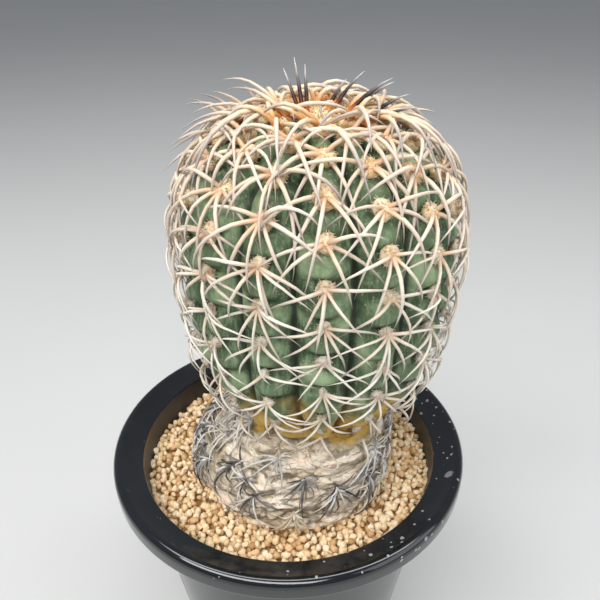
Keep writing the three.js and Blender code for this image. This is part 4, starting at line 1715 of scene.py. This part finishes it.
@dataclass
class Crown:
    """The top of the plant: a woolly middle, crowded arching spines, and those that stand clear.

    Each row of dark and fan is one standing spine: where its root and its tip lie, to the right and to the
    back of the crown's middle, the tip's height over the skin's top, and its bow. Millimetres.
    """

    form: PlantForm
    rows: SpineRows
    sweep: ThornSweep
    felt: FeltPads
    centre: tuple[float, float]
    skin_top: float
    seed: int = 31
    tufts: int = 9
    dark_girth: float = 0.85
    fan_girth: float = 0.8
    shoulder_points: int = 5
    dark: tuple[tuple[float, ...], ...] = (
        (-5.5, -9, -11.5, 3, 15, 1.5), (-5, -8.5, -8, 2, 18.5, 1.5), (-4, -7, -4.5, 4, 16, 1.5),
        (1.5, -1.5, 9.5, 8, 10.5, 2), (3, -1.5, 15.5, 8, 13, 2.5), (7, -5.5, 24.5, 6, 11, 3),
        (9, -3.5, 25, 5, 10, 3), (13, -8, 30, 3, 6.5, 3), (14, -9, 33, 1, 2.5, 3),
    )
    fan: tuple[tuple[float, ...], ...] = (
        (-10, -2, -32, 4, 11, 10), (-9, -6, -30, 1, 9, 8), (-19, 10, -25, 8, 9, 3), (-26, 9, -44, 2, 4, 6),
        (-18, 6, -42, -4, 2, 8), (-21, 1, -45, -9, -2, 9), (-24, 8, -47, -6, -6, 8), (14, -8, 33, 1, 2, 4),
        (18, 9, 35, 4, -3, 6), (16, 5, 39, -3, -8, 8), (13, 5, 39, 6, -6, 8), (10, -6, 30, -8, 0, 7),
        (-31, 8, -49, -8, -9, 6), (-33, 12, -50, -2, -9, 6), (-36, 10, -52, -6, -16, 5),
        (-30, 14, -44, 10, 4, 5), (-26, 16, -40, 8, 6, 5), (-22, 18, -36, 12, 6, 4), (27, 8, 40, -8, -9, 7),
        (30, 10, 45, -4, -12, 6), (33, 10, 47, -8, -19, 5), (22, 8, 38, -6, -2, 6), (26, 16, 41, 8, -1, 5),
        (5, 9, 16, 14, 5, 6),
    )

    def build(self) -> None:
        """Builds the wool in the middle and the cluster of spines round it."""
        rng = np.random.default_rng(self.seed)
        seats = [self.form.seat(1.4 + 0.72 * i, i * 2.4) for i in range(self.tufts)]
        seats.append(self.form.seat(0.6, 0.0))
        spreads = np.array([[3.4, 3.0, 2.6 - 0.1 * i] for i in range(self.tufts)] + [[4.2, 4.2, 2.4]])
        wool = self.felt.grow("crown_wool_tuft", seats, spreads, np.zeros(len(seats)), 0.5, 71, 0.8)
        place(wool, "wool", "crown_wool")
        batch = SpineBatch()
        areoles = []
        for rib in range(self.form.ribs):
            areoles += [self.form.seat(d, rib * self.form.rib_turn) for d in self.form.crown_areoles(rib)]
        for seat in areoles:
            self.arching(batch, seat, rng)
        self.standing(batch, rng)
        thorns = self.sweep.sweep(batch.lines("crown_thorns"), 6, 77)
        spreads = np.array([[3.2, 3.2, 2.2]] * len(areoles))
        pads = self.felt.grow("crown_felt", areoles, spreads, np.zeros(len(areoles)), 0.4, 72)
        cluster = joined("crown_spine_cluster", [thorns, pads])
        place(cluster, "spine", "crown_spines")

    def arching(self, batch: SpineBatch, seat: Seat, rng: np.random.Generator) -> None:
        """Adds the spines of one young areole, which rise and arch outwards.

        Args:
            batch: Where they are gathered.
            seat: Where they are rooted.
            rng: The source of their irregularity.
        """
        inner = 1 - float(smoothstep(seat.distance, 6, 14))
        turn = abs((seat.angle + math.pi) % (2 * math.pi) - math.pi)
        front = 1 - float(smoothstep(turn, 0.8, 1.4))
        for index, heading in enumerate(CROWN_HABIT.headings):
            vigour = rng.uniform(0.85, 1.15) - 0.25 * inner
            path = self.rows.path(seat, CROWN_HABIT, index, rng, batch.steps, True, vigour)
            bare_front = 0.65 * (abs(heading) < 40) + 0.5 * inner
            if rng.random() >= CROWN_HABIT.missing + 0.55 * inner + front * bare_front:
                batch.add(path, CROWN_HABIT.girth * rng.uniform(0.85, 1.1), rng.random(), 0.0, Tone.GOLD)

    def standing(self, batch: SpineBatch, rng: np.random.Generator) -> None:
        """Adds this year's erect dark spines and the long pale ones that stand clear of the shoulders.

        Args:
            batch: Where they are gathered.
            rng: The source of their irregularity.
        """
        steps = np.array(batch.steps)[:, None]
        shoulder = self.form.curve[: self.shoulder_points * self.form.samples]
        kinds = ((Tone.DARK, self.dark_girth, self.dark), (Tone.GOLD, self.fan_girth, self.fan))
        for tone, girth, rows in kinds:
            for root_x, root_y, tip_x, tip_y, rise, bow in rows:
                skin = float(np.interp(math.hypot(root_x, root_y), shoulder[:, 0], shoulder[:, 1]))
                root = np.array([self.centre[0] + root_x, self.centre[1] + root_y, skin + 0.6])
                tip = np.array([self.centre[0] + tip_x, self.centre[1] + tip_y, self.skin_top + rise])
                bend = (root + tip) / 2 + np.array([0, 0, bow])
                path = (1 - steps) ** 2 * root + 2 * steps * (1 - steps) * bend + steps**2 * tip
                batch.add(path, girth * rng.uniform(0.9, 1.1), rng.random(), 0.1, tone)


# ------------------------------------------------------------------- studio


@dataclass
class Viewpoint:
    """The camera, which looks down at the pot's mouth from the front. Millimetres and degrees."""

    distance: float = 289.23
    elevation: float = 42.67
    yaw: float = -1.22
    pitch: float = 12.22
    roll: float = 1.11
    lens: float = 38.4
    target_height: float = 132.0

    def build(self) -> None:
        """Makes the scene's camera."""
        rise = math.radians(self.elevation)
        spot = Vector((0, -self.distance * math.cos(rise), self.distance * math.sin(rise)))
        ahead = -spot.normalized()
        right = ahead.cross(Vector((0, 0, 1))).normalized()
        axes = [ahead, right, right.cross(ahead)]
        for which, angle in ((2, self.yaw), (1, self.pitch), (0, self.roll)):
            spin = Matrix.Rotation(math.radians(angle), 3, axes[which])
            axes = [spin @ axis for axis in axes]
        ahead, right, up = axes
        data = bpy.data.cameras.new("camera")
        data.lens = self.lens
        data.clip_start = 0.01
        camera = bpy.data.objects.new("camera", data)
        turned = Matrix((right, up, -ahead)).transposed().to_4x4()
        camera.matrix_world = Matrix.Translation((spot + Vector((0, 0, self.target_height))) * MM) @ turned
        bpy.context.scene.collection.objects.link(camera)
        bpy.context.scene.camera = camera


@dataclass
class SoftLight:
    """One soft light, aimed at the plant: its place, width and height. Metres and watts."""

    name: str
    spot: tuple[float, float, float]
    size: tuple[float, float]
    power: float
    tint: tuple[float, float, float] = (1.0, 1.0, 1.0)
    aim: tuple[float, float, float] = (0.0, 0.0, 0.17)

    def build(self) -> None:
        """Makes the light."""
        data = bpy.data.lights.new(self.name, "AREA")
        data.shape = "RECTANGLE"
        data.size, data.size_y = self.size
        data.energy = self.power
        data.color = self.tint
        light = bpy.data.objects.new(self.name, data)
        light.location = self.spot
        light.rotation_mode = "QUATERNION"
        light.rotation_quaternion = (Vector(self.aim) - Vector(self.spot)).to_track_quat("-Z", "Y")
        bpy.context.scene.collection.objects.link(light)


@dataclass
class Studio:
    """The pale floor, the soft lights and the dim surroundings."""

    floor_half: float = 9.0
    surroundings: float = 0.3
    lights: tuple[SoftLight, ...] = (
        SoftLight("key_light", (-0.3, -0.62, 1.05), (1.3, 0.4), 13.5, (1.0, 0.995, 0.98)),
        SoftLight("fill_light", (0.85, -0.45, 0.6), (0.8, 0.8), 3.0, (0.96, 0.98, 1.0)),
        SoftLight("top_light", (0.0, 0.02, 1.25), (1.8, 0.26), 8.5),
    )
    finish: StudioFloorFinish = field(default_factory=StudioFloorFinish)

    def build(self) -> None:
        """Sets up the floor, lights and surroundings."""
        half = self.floor_half / MM
        corners = np.array([[-half, -half, 0], [half, -half, 0], [half, half, 0], [-half, half, 0]])
        floor = new_piece("studio_floor", corners, [(0, 1, 2, 3)])
        floor.data.materials.append(self.finish.material())
        for light in self.lights:
            light.build()
        world = bpy.data.worlds.new("surroundings")
        world.use_nodes = True
        backdrop = world.node_tree.nodes["Background"]
        backdrop.inputs["Color"].default_value = (0.9, 0.95, 1.0, 1)
        backdrop.inputs["Strength"].default_value = self.surroundings
        bpy.context.scene.world = world
        bpy.context.scene.view_settings.view_transform = "Standard"


# --------------------------------------------------------------------- main


def millimetres(node: str) -> tuple[np.ndarray, np.ndarray]:
    """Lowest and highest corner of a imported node."""
    low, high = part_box(node)
    return np.array(low) / MM, np.array(high) / MM


def main() -> None:
    """Builds the potted cactus in order, then the studio."""
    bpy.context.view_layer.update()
    form = PlantForm()
    _, pot_high = millimetres("pot")
    pot = Pot(float(pot_high[0]), float(pot_high[2]), mouth_height=form.mouth_height)
    pot.build()
    BuriedFill("drainage_gravel", GRAVEL).build()
    BuriedFill("potting_mix", POTTING_MIX).build()
    bed_low, _ = millimetres("top_dressing")
    TopDressing(form, pot.inner(form.soil_height), float(bed_low[2]), form.soil_height).build()
    Stem(form).build()

    sweep = ThornSweep(SpineFinish().material())
    felt = FeltPads(WoolFinish().material())
    rows = SpineRows(form, sweep, ThornSweep(WeatheredSpineFinish().material()), felt)
    for rib in range(form.ribs):
        rows.body_row(rib)
        rows.old_row(rib)
    wool_low, wool_high = millimetres("crown_wool")
    centre = tuple(float(v) for v in (wool_low + wool_high)[:2] / 2)
    Crown(form, rows, sweep, felt, centre, float(form.profile(0.0)[1])).build()

    Viewpoint().build()
    Studio().build()


if __name__ == "__main__":
    logging.basicConfig(level=logging.INFO, format="%(message)s")
    main()
